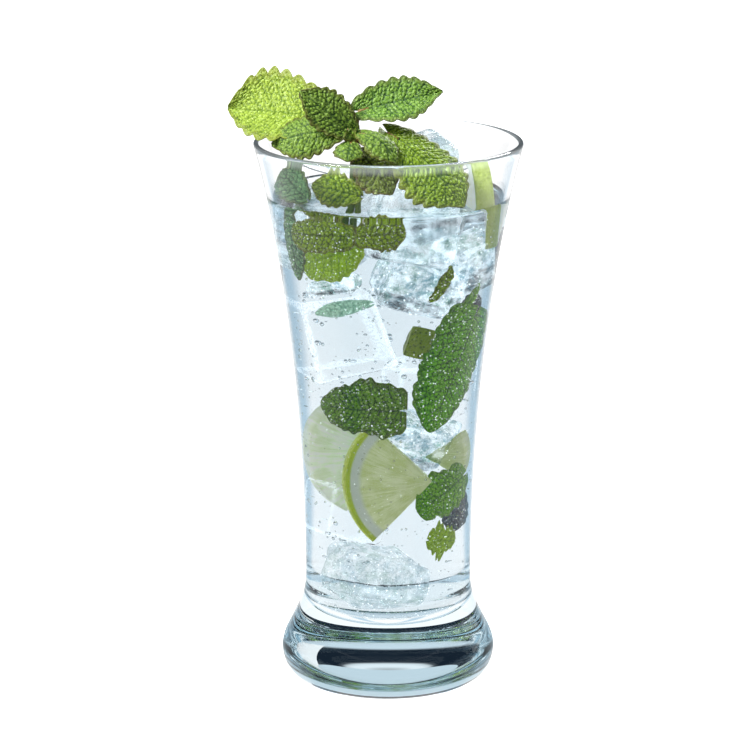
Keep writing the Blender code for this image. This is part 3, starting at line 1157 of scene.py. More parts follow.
@dataclass(frozen=True)
class Leaf:
    """One mint leaf. face is the side that its upper surface looks to, and the rest are its form."""

    name: str
    base: Point
    tip: Point
    width: float
    face: Point
    bend: float = 0.10            # bow of the midrib, as a share of the length
    cup: float = 0.20             # rise of the edges, as a share of the half width
    lobes: float = 0.10           # how far the base's lobes reach back, as a share of the length
    teeth: int = 8                # along each edge
    fullest: float = 0.50         # where the leaf is widest, as a share of the length
    taper: float = 0.45           # how much the outline's power grows to the tip, which slims it
    joint: Point | None = None    # where its petiole leaves the stem
    look: Green = Green.DARK
    blunt: float = 0.55           # the outline's power at the base: the lower, the blunter
    tooth: float = 0.16           # depth of the teeth, as a share of the half width
    ragged: float = 0.0           # how uneven the outline is, in the same way
    thickness: float = 0.0005
    blunt_end: float = 0.00035    # half the width that is left at both ends
    sweep: float = 0.05           # how far an edge runs ahead at its middle, as a share of the length
    ripple: float = 0.05          # height of the edges' ripple, as a share of the width

    @property
    def length(self) -> float:
        """The straight length from base to tip."""
        return (Vector(self.tip) - Vector(self.base)).length

    def half_width(self, along: np.ndarray) -> np.ndarray:
        """Half the width of the leaf: an ovate outline with rounded teeth.

        Args:
            along: Shares of the length.

        Returns:
            The half width at each.
        """
        turn = np.pi * along ** (math.log(0.5) / math.log(self.fullest))
        ovate = np.maximum(0.0, np.sin(turn)) ** (self.blunt + self.taper * along)
        tooth = np.abs(np.sin(np.pi * self.teeth * along)) - 0.5
        return self.blunt_end + self.width / 2 * ovate * (1 + self.tooth * tooth)

    def wobble(self, along: np.ndarray, across: np.ndarray) -> np.ndarray:
        """The uneven part of the outline, which differs from side to side.

        Args:
            along: Shares of the length.
            across: Shares of the half width, with a sign for the side.

        Returns:
            A number near 0 for each.
        """
        seed = float(sum(map(ord, self.name)) % 17) + 2.1 * (across > 0)
        slow = np.sin(9.0 * along + seed) + 0.6 * np.sin(19.0 * along + 1.7 * seed)
        return slow + 0.5 * np.sin(41.0 * along + 2.3 * seed)

    def points(self, along: np.ndarray, across: np.ndarray) -> np.ndarray:
        """Points of the middle surface.

        Args:
            along: Shares of the length.
            across: Shares of the half width, with a sign for the side.

        Returns:
            The point at each.
        """
        base = np.array(self.base)
        axis = np.array(self.tip) - base
        axis /= self.length
        side = np.cross(np.array(self.face), axis)
        side /= np.linalg.norm(side)
        up = np.cross(axis, side)
        half = self.half_width(along)
        if self.ragged:
            half = half * (1 + self.ragged * self.wobble(along, across))
        sweep = self.sweep * np.sin(np.pi * along) - self.lobes * (1 - along) ** 3
        ripple = np.sin(2.5 * np.pi * along + 0.9 * (across > 0)) * across**2
        rise = self.bend * self.length * 4 * along * (1 - along)
        rise = rise + self.cup * half * np.abs(across) ** 1.5 + self.ripple * self.width * ripple
        ahead = self.length * (along + sweep * across**2)
        return base + ahead[..., None] * axis + (half * across)[..., None] * side + rise[..., None] * up


@dataclass
class MintMaker:
    """Makes mint: leaves with real puckers, petioles and stems."""

    pucker: float = 0.00065       # height of a pucker
    cell: float = 0.00125         # size of a pucker
    draws: int = 64               # puckers each way until their draw repeats
    slant: float = 0.35           # how far the rows of puckers run ahead at the edges
    vein: float = 0.0011          # width of a side vein
    midrib: float = 0.0006        # half the width of the midrib
    rim_share: float = 0.35       # of the thickness that is left at a leaf's edge
    step: float = 0.00032         # spacing of a leaf's points
    stem_sides: int = 14
    petiole_sides: int = 10
    stem_radii: tuple[float, ...] = (0.00115, 0.00092)
    petiole_radii: tuple[float, float] = (0.00072, 0.00045)
    petiole_bow: Point = (0.0, 0.0, -0.0005)
    petiole_steps: int = 12
    full_width: float = 0.012     # width of a leaf whose petiole has those radii
    # glow, given as glow= or as the number after gloss, is painted light; the soaked leaves have the most
    greens: tuple[MintFinish, ...] = (
        MintFinish("mint_bright", (0.34, 0.46, 0.055), (0.11, 0.19, 0.012), (0.20, 0.22, 0.03), glow=0.12),
        MintFinish("mint_dark", (0.175, 0.29, 0.030), (0.024, 0.065, 0.008), (0.09, 0.07, 0.012), 0.48, 0.05),
        MintFinish("mint_cool", (0.18, 0.42, 0.17), (0.03, 0.11, 0.045), (0.10, 0.12, 0.03), glow=0.07),
        MintFinish("mint_russet", (0.15, 0.21, 0.025), (0.03, 0.045, 0.006), (0.09, 0.05, 0.015), glow=0.03),
        MintFinish("mint_fresh", (0.19, 0.30, 0.008), (0.035, 0.085, 0.003), (0.12, 0.13, 0.015), 0.44, 0.07),
        MintFinish("mint_meadow", (0.17, 0.32, 0.035), (0.025, 0.08, 0.012), (0.09, 0.10, 0.02), 0.42, 0.06),
        MintFinish("mint_soaked", (0.13, 0.44, 0.006), (0.022, 0.10, 0.002), (0.04, 0.12, 0.003), glow=0.24),
        MintFinish("mint_soaked_bright", (0.28, 0.46, 0.012), (0.15, 0.28, 0.012), (0.2, 0.3, 0.02),
                   glow=0.35),
        MintFinish("mint_soaked_fresh", (0.14, 0.40, 0.008), (0.035, 0.14, 0.003), (0.08, 0.20, 0.005),
                   glow=0.26),
        MintFinish("mint_soaked_deep", (0.10, 0.27, 0.005), (0.018, 0.065, 0.002), (0.05, 0.09, 0.003),
                   glow=0.20),
        MintFinish("mint_soaked_olive", (0.21, 0.35, 0.003), (0.055, 0.09, 0.002), (0.11, 0.10, 0.008),
                   glow=0.24),
        # painted shade: a dark blue-grey look for scraps of leaf that stand where the drink shows only shade
        MintFinish("mint_painted_shade", (0.055, 0.105, 0.14), (0.015, 0.035, 0.06), (0.05, 0.09, 0.12), glow=0.20),
        # painted light: a pale blue-green with a strong glow, the white of the ice painted onto a leaf
        MintFinish("mint_painted_ice_veil", (0.44, 0.70, 0.54), (0.20, 0.42, 0.30), (0.36, 0.60, 0.50), glow=0.36,
                   painted_glint_colour=(0.62, 0.80, 0.72)),
    )
    stem: StemFinish = StemFinish("mint_stem", (0.15, 0.07, 0.018), (0.42, 0.26, 0.08))
    materials: list[bpy.types.Material] = field(init=False)

    def __post_init__(self) -> None:
        """Makes the materials, in the order of Green."""
        self.materials = [green.material() for green in self.greens] + [self.stem.material()]

    def relief(self, leaf: Leaf, along: np.ndarray, across: np.ndarray) -> np.ndarray:
        """The puckers between the veins, from 0 in a vein to 1 on a pucker's top.

        Args:
            leaf: The leaf.
            along: Shares of the length.
            across: Shares of the half width, with a sign for the side.

        Returns:
            The relief at each point.
        """
        draw = np.random.RandomState(sum(map(ord, leaf.name)))
        side = np.abs(across)
        half = leaf.width / 2
        forward = self.slant * side * half
        u = (along * leaf.length - forward) / self.cell + 20.0
        v = across * half / self.cell + 20.0
        jitter = draw.uniform(0.12, 0.88, (self.draws, self.draws, 2))
        nearest = np.full(along.shape, 9.0)
        second = np.full(along.shape, 9.0)
        low_u, low_v = np.floor(u).astype(int), np.floor(v).astype(int)
        for i in (-1, 0, 1):
            for j in (-1, 0, 1):
                stray = jitter[(low_u + i) % self.draws, (low_v + j) % self.draws]
                gap = np.hypot(low_u + i + stray[..., 0] - u, low_v + j + stray[..., 1] - v)
                second = np.minimum(second, np.maximum(nearest, gap))
                nearest = np.minimum(nearest, gap)
        pillow = np.clip((second - nearest) * 2.2, 0, 1) ** 0.6
        spacing = leaf.length / (leaf.teeth - 0.5)
        lateral = np.abs(np.sin(np.pi * (along * leaf.length - 0.6 * side * half) / spacing))
        lateral = np.clip(lateral * spacing / self.vein, 0, 1)
        midrib = 0.5 + 0.5 * np.clip(side * half / self.midrib, 0, 1)
        return pillow * lateral**0.5 * midrib

    def add_leaf(self, parts: MeshParts, leaf: Leaf) -> None:
        """Adds a leaf as a thin closed shell with its relief.

        Args:
            parts: The mesh under construction.
            leaf: The leaf.
        """
        rows = max(16, int(leaf.length / self.step))
        columns = max(10, int(leaf.width / self.step))
        along, across = np.meshgrid(np.linspace(0, 1, rows), np.linspace(-1, 1, columns), indexing="ij")
        middle = leaf.points(along, across)
        normal = np.cross(np.gradient(middle, axis=0), np.gradient(middle, axis=1))
        normal /= np.maximum(np.linalg.norm(normal, axis=2, keepdims=True), 1e-12)
        if float(np.sum(normal[rows // 2, columns // 2] * np.array(leaf.face))) < 0:
            normal = -normal
        relief = self.relief(leaf, along, across)
        fade = np.clip((1 - np.abs(across)) * 6, 0, 1) * np.clip(along * (1 - along) * 30, 0, 1)
        height = (relief - 0.5) * self.pucker * fade
        thick = leaf.thickness / 2 * (self.rim_share + (1 - self.rim_share) * fade)
        top = middle + normal * (height + thick)[..., None]
        low = middle + normal * (height - thick)[..., None]
        count = rows * columns
        faces = sheet_faces(rows, columns) + sheet_faces(rows, columns, count)
        faces += rim_faces(rows, columns, count)
        parts.add(
            np.concatenate([top.reshape(-1, 3), low.reshape(-1, 3)]),
            faces,
            leaf.look.value,
            relief=np.tile(relief.ravel(), 2),
            rim=np.tile(np.abs(across).ravel(), 2),
        )

    def add_tube(self, parts: MeshParts, path: np.ndarray, radii: np.ndarray, sides: int) -> None:
        """Adds a round rod, closed at both ends.

        Args:
            parts: The mesh under construction.
            path: The points of its middle line.
            radii: Its radius at each.
            sides: The number of flats round it.
        """
        tangent = np.gradient(path, axis=0)
        tangent /= np.linalg.norm(tangent, axis=1, keepdims=True)
        first = np.cross(tangent, np.array([0.31, 0.94, 0.12]))
        first /= np.linalg.norm(first, axis=1, keepdims=True)
        second = np.cross(tangent, first)
        turn = np.arange(sides) * math.tau / sides
        ring = np.cos(turn)[None, :, None] * first[:, None] + np.sin(turn)[None, :, None] * second[:, None]
        points = (path[:, None] + ring * radii[:, None, None]).reshape(-1, 3)
        faces = []
        for i in range(len(path) - 1):
            for j in range(sides):
                k = (j + 1) % sides
                faces.append((i * sides + j, i * sides + k, (i + 1) * sides + k, (i + 1) * sides + j))
        faces.append(tuple(range(sides)))
        faces.append(tuple(range((len(path) - 1) * sides, len(path) * sides)))
        parts.add(points, faces, Green.STEM.value)

    def add_petiole(self, parts: MeshParts, leaf: Leaf) -> None:
        """Adds a leaf's stalk, from the stem to a little way up the midrib.

        Args:
            parts: The mesh under construction.
            leaf: The leaf.
        """
        end, inside = leaf.points(np.array([0.0, 0.12]), np.array([0.0, 0.0]))
        path = bowed(leaf.joint, end, self.petiole_bow, self.petiole_steps)
        path = np.concatenate([path, inside[None]])
        slim = min(1.0, leaf.width / self.full_width)
        radii = np.linspace(*self.petiole_radii, len(path)) * (0.55 + 0.45 * slim)
        self.add_tube(parts, path, radii, self.petiole_sides)

    def build(
        self, name: str, leaves: Sequence[Leaf], stems: Sequence[np.ndarray] = ()
    ) -> bpy.types.Object:
        """Makes a piece of mint, with a petiole for each leaf that has a joint.

        Args:
            name: The piece's name.
            leaves: The leaves.
            stems: The middle line of each stem.

        Returns:
            The piece.
        """
        parts = MeshParts(("relief", "rim"))
        for thickness, path in zip(self.stem_radii, stems):
            radii = thickness * (1 + 0.08 * np.sin(np.arange(len(path)) * 0.9))
            self.add_tube(parts, path, radii, self.stem_sides)
        for leaf in leaves:
            if leaf.joint:
                self.add_petiole(parts, leaf)
            self.add_leaf(parts, leaf)
        return ride(parts.build(name, self.materials))


def bowed(start: Point, end: Point | np.ndarray, bow: Point, count: int = 24) -> np.ndarray:
    """A bowed line.

    Args:
        start: Where it starts.
        end: Where it ends.
        bow: How far its middle lies off the straight line.
        count: The number of points.

    Returns:
        The points, one to a row.
    """
    share = np.linspace(0, 1, count)[:, None]
    line = np.array(start) * (1 - share) + np.array(end) * share
    return line + np.array(bow) * 4 * share * (1 - share)


# ---- Lime ---------------------------------------------------------------------------------------
@dataclass(frozen=True)
class LimeCut:
    """A sector of a lime slice. It lies in the plane of out and up, with its corner at place."""

    place: Point
    out: Point                    # from the corner to the middle of the rind
    up: Point                     # along the slice, square to out
    radius: float
    thickness: float
    spread: float                 # in degrees
    seed: int = 1
    core: float = 1.0             # share of the fruit's radius that is left
    rounding: float = 0.0007

    @property
    def peeled(self) -> bool:
        """Whether the rind is cut off."""
        return self.core <= 0.9


@dataclass
class LimeMaker:
    """Makes cut pieces of lime, each as one closed shell."""

    soaked: LimeFinish = LimeFinish(
        "lime_soaked", (0.30, 0.42, 0.025), (0.42, 0.52, 0.08), (0.43, 0.50, 0.41), (0.43, 0.52, 0.20),
        (0.55, 0.62, 0.36)
    )
    fresh: LimeFinish = LimeFinish(
        "lime_fresh", (0.29, 0.40, 0.05), (0.38, 0.48, 0.11), (0.84, 0.90, 0.86), (0.78, 0.85, 0.70),
        (0.88, 0.92, 0.86), glow=0.24
    )
    pale: LimeFinish = LimeFinish(
        "lime_pale", (0.50, 0.60, 0.25), (0.58, 0.66, 0.36), (0.66, 0.72, 0.62), (0.60, 0.68, 0.44),
        (0.76, 0.81, 0.68), glow=0.38
    )
    peel: LimeFinish = LimeFinish(
        "lime_peel", (0.045, 0.075, 0.008), (0.16, 0.24, 0.02), (0.40, 0.48, 0.16), (0.10, 0.15, 0.015),
        (0.22, 0.30, 0.04), glow=0.25
    )
    arc_steps: int = 70
    face_steps: int = 44
    rind_steps: int = 14
    swell: float = 0.00035        # how far the juicy segments stand out between their walls
    grain: float = 0.00018        # height of the flesh's grain
    sunken: float = 0.0002        # how far the walls between the segments lie in

    def section(self, cut: LimeCut) -> list[tuple[float, float, float]]:
        """A cut through the slice, with rounded rind edges.

        Args:
            cut: The piece.

        Returns:
            (reach, side, skin) round the section, from the corner out and back.
        """
        round_from = 1 - cut.rounding / cut.radius
        points = [(reach, 1.0, 0.0) for reach in spaced(0.0, round_from, self.face_steps)]
        for step in range(1, self.rind_steps):
            turn = math.pi * step / self.rind_steps
            bulge = math.sin(turn) ** 0.5
            points.append((1 - cut.rounding / cut.radius * (1 - bulge), math.cos(turn), 1.0))
        return points + [(reach, -1.0, 0.0) for reach in spaced(round_from, 0.0, self.face_steps)]

    def add(self, parts: MeshParts, cut: LimeCut) -> None:
        """Adds one cut piece.

        Args:
            parts: The mesh under construction.
            cut: The piece's place and sizes.
        """
        section = self.section(cut)
        out = np.array(cut.out) / np.linalg.norm(cut.out)
        up = np.array(cut.up) - out * float(np.dot(cut.up, out))
        up /= np.linalg.norm(up)
        through = np.cross(out, up)
        half = cut.thickness / 2
        spread = math.radians(cut.spread)
        rows, numbers = [], []
        for turn in spaced(-spread / 2, spread / 2, self.arc_steps):
            for reach, side, skin in section:
                juicy = max(0.0, 1 - abs(reach - 0.5) * 2.4) ** 0.5
                wall = abs(math.sin((turn + cut.seed) * 4.5))
                grain = noise.noise(Vector((turn * 30, reach * 6, cut.seed))) * self.grain
                proud = (self.swell * wall**0.4 + grain) * juicy * (1 - skin)
                depth = side * (half + proud - self.sunken)
                at = cut.radius * reach
                rows.append(out * at * math.cos(turn) + up * at * math.sin(turn) + through * depth)
                numbers.append((reach * cut.core, turn + cut.seed, skin * (not cut.peeled)))
        count = len(section)
        faces = []
        for i in range(self.arc_steps - 1):
            for a in range(i * count, (i + 1) * count - 1):
                faces.append((a, a + 1, a + count + 1, a + count))
            faces.append((i * count + count - 1, i * count, (i + 1) * count, (i + 1) * count + count - 1))
        faces += self.end_faces(count, 0)
        faces += self.end_faces(count, (self.arc_steps - 1) * count)
        named = dict(zip(("reach", "turn", "skin"), np.array(numbers, dtype=float).T))
        parts.add(np.array(cut.place) + np.array(rows), faces, **named)

    @staticmethod
    def end_faces(count: int, start: int) -> Faces:
        """Closes one cut end with strips between the two sides of the section.

        Args:
            count: The number of points round the section.
            start: The index of the first.

        Returns:
            The faces.
        """
        faces = []
        low, high = 0, count - 1
        while high - low > 2:
            faces.append((start + low, start + low + 1, start + high - 1, start + high))
            low += 1
            high -= 1
        if high - low == 2:
            faces.append((start + low, start + low + 1, start + high))
        return faces

    def build(self, name: str, cuts: Sequence[LimeCut], finish: LimeFinish) -> bpy.types.Object:
        """Makes a piece of cut limes.

        Args:
            name: The piece's name.
            cuts: The cut limes.
            finish: Their look.

        Returns:
            The piece.
        """
        parts = MeshParts(("reach", "turn", "skin"))
        for cut in cuts:
            self.add(parts, cut)
        return ride(parts.build(name, [finish.material()]))


# ---- Bubbles ------------------------------------------------------------------------------------
@dataclass
class Fizz:
    """Strews air bubbles over the surfaces of pieces that are sunk in the drink."""

    form: NodeForm
    # painted glint: every bead gives off white light of its own
    bead: ClearFinish = ClearFinish("air_bead", 0.75, 0.40)
    ring: ClearFinish = ClearFinish("air_ring", 0.75)
    dry_from: float = SURFACE - 0.0006  # height from which faces carry no bubbles
    air: list[bpy.types.Material] = field(init=False)

    def __post_init__(self) -> None:
        """Makes the bubbles' materials: beads that glow white with a painted glint first, and clear rings
        next.
        """
        self.air = [self.bead.material(), self.ring.material()]

    def on(
        self,
        source: bpy.types.Object,
        name: str,
        density: float,
        small: float,
        large: float,
        seed: int,
        lift: float = 1.0,
        clear: bool = False,
    ) -> None:
        """Strews bubbles over a copy of a piece.

        Args:
            source: The piece, which stays.
            name: The bubbles' name.
            density: Bubbles to the square metre.
            small: The smallest radius.
            large: The largest radius.
            seed: Of the random draw.
            lift: How far off its face a bubble's middle lies, in radii; below 0 it lies inside.
            clear: Whether the bubbles are clear rings and not beads that glow white with a painted glint.
        """
        carrier = shown(name + "_carrier", source.data.copy())
        self.below_surface(carrier.data)
        values = {
            "Density": density,
            "Smallest": small,
            "Largest": large,
            "Lift": lift,
            "Seed": seed,
            "Finish": self.air[int(clear)],
        }
        ride(self.form.applied(carrier, name, values))

    def below_surface(self, mesh: bpy.types.Mesh) -> None:
        """Takes away the faces that stand out of the drink.

        Args:
            mesh: The mesh, which is changed.
        """
        work = bmesh.new()
        work.from_mesh(mesh)
        dry = [face for face in work.faces if face.calc_center_median().z > self.dry_from]
        bmesh.ops.delete(work, geom=dry, context="FACES")
        work.to_mesh(mesh)
        work.free()


# ---- The studio ---------------------------------------------------------------------------------
@dataclass(frozen=True)
class Card:
    """An upright curved card, glowing or dark, which only the glass sees."""

    name: str
    radius: float
    low: float                    # height of its lower edge
    high: float
    glow: Colour
    start: float = 0.0            # degrees clockwise from the back, seen from above
    stop: float = 360.0
    steps: int = 96

    def build(self) -> bpy.types.Object:
        """Makes the card.

        Returns:
            The object.
        """
        points = []
        for turn in spaced(math.radians(self.start), math.radians(self.stop), self.steps + 1):
            for height in (self.low, self.high):
                points.append((self.radius * math.sin(turn), self.radius * math.cos(turn), height))
        mesh = bpy.data.meshes.new(self.name)
        mesh.from_pydata(points, [], sheet_faces(self.steps + 1, 2))
        mesh.materials.append(GlowFinish(self.name, self.glow).material())
        return shown(self.name, mesh)


@dataclass(frozen=True)
class Lamp:
    """A square soft light."""

    name: str
    place: Point
    power: float
    colour: Colour = WHITE
    size: float = 0.35


@dataclass
class Studio:
    """A glowing white table, a sky of light and dark bands, soft lights and the camera."""

    camera_place: Point = (-0.0039, -1.0, 0.3506)
    camera_target: Point = (-0.0039, 0.0, 0.0918)
    lens: float = 168.3
    sensor: float = 36.0
    garnish: Point = (0.0, 0.0, 0.15)  # what the lamps look at
    table_radius: float = 6.0
    table_drop: float = 0.0003         # how far under the tumbler it lies
    sheet_drop: float = 0.0006
    bounces: int = 28
    dark: Colour = (0.010, 0.018, 0.030)
    pale: Colour = (0.68, 0.78, 0.85)
    streak: Colour = (0.88, 0.93, 0.96)
    fill: Colour = (0.45, 0.47, 0.50)
    roof: Colour = (0.25, 0.30, 0.35)
    cards: tuple[Card, ...] = (
        Card("pale_card", 0.0366, 0.0050, 0.0116, (0.62, 0.73, 0.79)),
        Card("dark_card", 0.0480, 0.0000, 0.0032, (0.010, 0.018, 0.030)),
        Card("side_card", 3.0, 0.15, 2.45, WHITE, 36.0, 76.0),
    )
    lamps: tuple[Lamp, ...] = (
        Lamp("key_left", (-0.55, -0.35, 0.75), 14.0),
        Lamp("key_back", (0.35, 0.60, 0.70), 10.0, (1.0, 1.0, 0.98)),
    )
    sheet: GlowFinish = GlowFinish("bounce_sheet", WHITE, 1.12, corners=(0.50, 0.64, 0.74))
    table: TableFinish = TableFinish("lit_table", 0.93, 0.35)

    def disc(self, name: str, drop: float, finish: bpy.types.Material) -> bpy.types.Object:
        """A round sheet under the tumbler.

        Args:
            name: Its name.
            drop: How far down it lies.
            finish: Its material.

        Returns:
            The object.
        """
        bpy.ops.mesh.primitive_circle_add(vertices=96, radius=self.table_radius, fill_type="NGON")
        made = bpy.context.active_object
        made.name = name
        made.location.z = -drop
        made.data.materials.append(finish)
        return made

    @staticmethod
    def for_glass_only(piece: bpy.types.Object) -> None:
        """Hides a piece from the camera, from diffuse light and from shadows, so that it is seen only in and
        through what shines.

        Args:
            piece: The piece.
        """
        piece.visible_camera = False
        piece.visible_diffuse = False
        piece.visible_shadow = False

    def floor(self) -> None:
        """The table, which the camera sees, and a sheet that glass sees in its place.

        The sheet is white, and pale blue at the corners.
        """
        top = self.disc("white_table", self.table_drop, self.table.material())
        top.visible_glossy = False
        top.visible_transmission = False
        top.visible_diffuse = False
        self.for_glass_only(self.disc("bounce_sheet", self.sheet_drop, self.sheet.material()))

    def sky(self) -> None:
        """Light from all round, in bands by height: white, dark, pale and dark."""
        world = bpy.data.worlds.new("studio")
        bpy.context.scene.world = world
        world.use_nodes = True
        bands = (
            (-3.0, self.fill),
            (1.0, self.dark),
            (24.1, self.dark),
            (24.7, self.streak),
            (25.8, self.streak),
            (26.5, self.dark),
            (36.5, self.dark),
            (39.5, self.pale),
            (66.0, self.pale),
            (80.0, self.roof),
        )
        stops = [((1 + math.sin(math.radians(angle))) / 2, colour) for angle, colour in bands]
        graph = Graph(world.node_tree)
        around = graph.node("ShaderNodeTexCoord", output="Generated")
        upwards = graph.node("ShaderNodeSeparateXYZ", {}, {0: around}, "Z")
        share = graph.node("ShaderNodeMapRange", {}, {0: upwards, "From Min": -1.0})
        colour = graph.node("ShaderNodeValToRGB", {"stops": stops}, {0: share})
        graph.join(graph.tree.nodes["Background"].inputs[0], colour)

    @staticmethod
    def aimed(made: bpy.types.Object, place: Point, target: Point) -> None:
        """Places a lamp or a camera.

        Args:
            made: The object.
            place: Where it goes.
            target: What it looks at.
        """
        made.location = place
        aim = Vector(target) - Vector(place)
        made.rotation_euler = aim.to_track_quat("-Z", "Y").to_euler()

    def light(self, lamp: Lamp) -> None:
        """Hangs a lamp, which glass doesn't show.

        Args:
            lamp: The lamp.
        """
        data = bpy.data.lights.new(lamp.name, "AREA")
        data.size = lamp.size
        data.energy = lamp.power
        data.color = lamp.colour
        made = shown(lamp.name, data)
        made.visible_transmission = False
        self.aimed(made, lamp.place, self.garnish)

    def camera(self) -> None:
        """The camera, which looks down on the drink a little."""
        data = bpy.data.cameras.new("camera")
        data.lens = self.lens
        data.sensor_width = self.sensor
        made = shown("camera", data)
        self.aimed(made, self.camera_place, self.camera_target)
        bpy.context.scene.camera = made

    def build(self) -> None:
        """Sets up the whole studio."""
        self.floor()
        for card in self.cards:
            self.for_glass_only(card.build())
        self.sky()
        for lamp in self.lamps:
            self.light(lamp)
        self.camera()
        scene = bpy.context.scene
        scene.view_settings.view_transform = "Standard"
        scene.cycles.use_denoising = True
        scene.cycles.max_bounces = self.bounces
        scene.cycles.glossy_bounces = self.bounces
        scene.cycles.transmission_bounces = self.bounces
        scene.cycles.transparent_max_bounces = 16


# ---- What is where ------------------------------------------------------------------------------
STANDING_ICE = (
    IceCube((0.0086, 0.0140, 0.1472), (9, -11, 22), (1.0, 0.92, 1.02), 4, "ice_cube_back", melt=0.0004),
    IceCube((0.0062, -0.0112, 0.1402), (-8, 14, 8), (1.06, 0.80, 0.96), 9, "ice_cube_front", melt=0.0007),
    IceCube((-0.0160, 0.0040, 0.1365), (12, 9, -24), (0.90, 0.96, 0.94), 15, "ice_cube_left", melt=0.0005),
)

SPRIG_LEAVES = (
    Leaf("broad", (-0.0125, -0.0120, 0.1701), (-0.0461, -0.0060, 0.1722), 0.0240, (0.15, -0.72, 0.68),
         bend=0.02, cup=0.40, lobes=0.06, teeth=9, fullest=0.61, joint=(-0.0102, -0.0148, 0.1650),
         look=Green.BRIGHT),
    Leaf("upper", (-0.0104, -0.0170, 0.1670), (-0.0254, -0.0190, 0.1795), 0.0118, (0.30, -0.85, 0.35),
         bend=0.08, joint=(-0.0100, -0.0156, 0.1648)),
    Leaf("lower", (-0.0138, -0.0188, 0.1676), (-0.0333, -0.0176, 0.1638), 0.0128, (-0.10, -0.74, 0.62),
         bend=0.16, cup=-0.25, joint=(-0.0101, -0.0158, 0.1640)),
    Leaf("right", (-0.0085, -0.0130, 0.1729), (0.0155, -0.0100, 0.1779), 0.0134, (-0.10, -0.80, 0.60),
         bend=0.02, cup=0.25, fullest=0.45, taper=0.65, joint=(-0.0098, -0.0152, 0.1652), look=Green.MEADOW),
    Leaf("inner", (-0.0082, -0.0180, 0.1672), (0.0020, -0.0250, 0.1599), 0.0090, (0.45, -0.65, 0.62),
         bend=0.20, cup=-0.30, teeth=6, joint=(-0.0097, -0.0160, 0.1646)),
    Leaf("falling", (-0.0002, -0.0140, 0.1667), (0.0208, -0.0240, 0.1473), 0.0210, (0.45, -0.70, 0.55),
         bend=0.10, cup=-0.22, teeth=10, fullest=0.55, joint=(-0.0096, -0.0154, 0.1644), look=Green.FRESH),
    Leaf("under", (-0.0082, -0.0160, 0.1613), (0.0009, -0.0230, 0.1508), 0.0120, (0.15, -0.80, 0.55),
         bend=0.12, cup=-0.20, joint=(-0.0100, -0.0157, 0.1606), look=Green.RUSSET),
    Leaf("small", (-0.0107, -0.0200, 0.1650), (-0.0118, -0.0260, 0.1607), 0.0080, (0.0, -0.70, 0.75),
         bend=0.12, cup=-0.25, teeth=5, joint=(-0.0101, -0.0160, 0.1636)),
    Leaf("bud_left", (-0.0099, -0.0160, 0.1645), (-0.0110, -0.0180, 0.1689), 0.0024, (-0.20, -0.90, 0.30),
         teeth=3, joint=(-0.0099, -0.0156, 0.1640)),
    Leaf("bud_right", (-0.0096, -0.0160, 0.1648), (-0.0087, -0.0180, 0.1686), 0.0024, (0.20, -0.90, 0.30),
         teeth=3, joint=(-0.0099, -0.0156, 0.1642)),
)

STEMS = (
    bowed((-0.0112, -0.0148, 0.1385), (-0.0095, -0.0155, 0.1668), (0.0002, -0.0006, 0.0)),
    bowed((-0.0088, -0.0160, 0.1395), (-0.0099, -0.0155, 0.1652), (0.0005, 0.0004, 0.0)),
)

LOOSE_LEAVES = {
    "loose_leaf_left": Leaf(
        "mint_leaf_left", (-0.0232, -0.0135, 0.1478), (-0.0304, -0.0080, 0.1550), 0.0095,
        (-0.55, -0.75, 0.35), teeth=6, look=Green.COOL),
    "loose_leaf_middle": Leaf(
        "mint_leaf_middle", (-0.0084, -0.0242, 0.1507), (-0.0215, -0.0220, 0.1535), 0.0092,
        (0.0, -0.95, 0.30), bend=0.06, teeth=7, look=Green.FRESH),
}

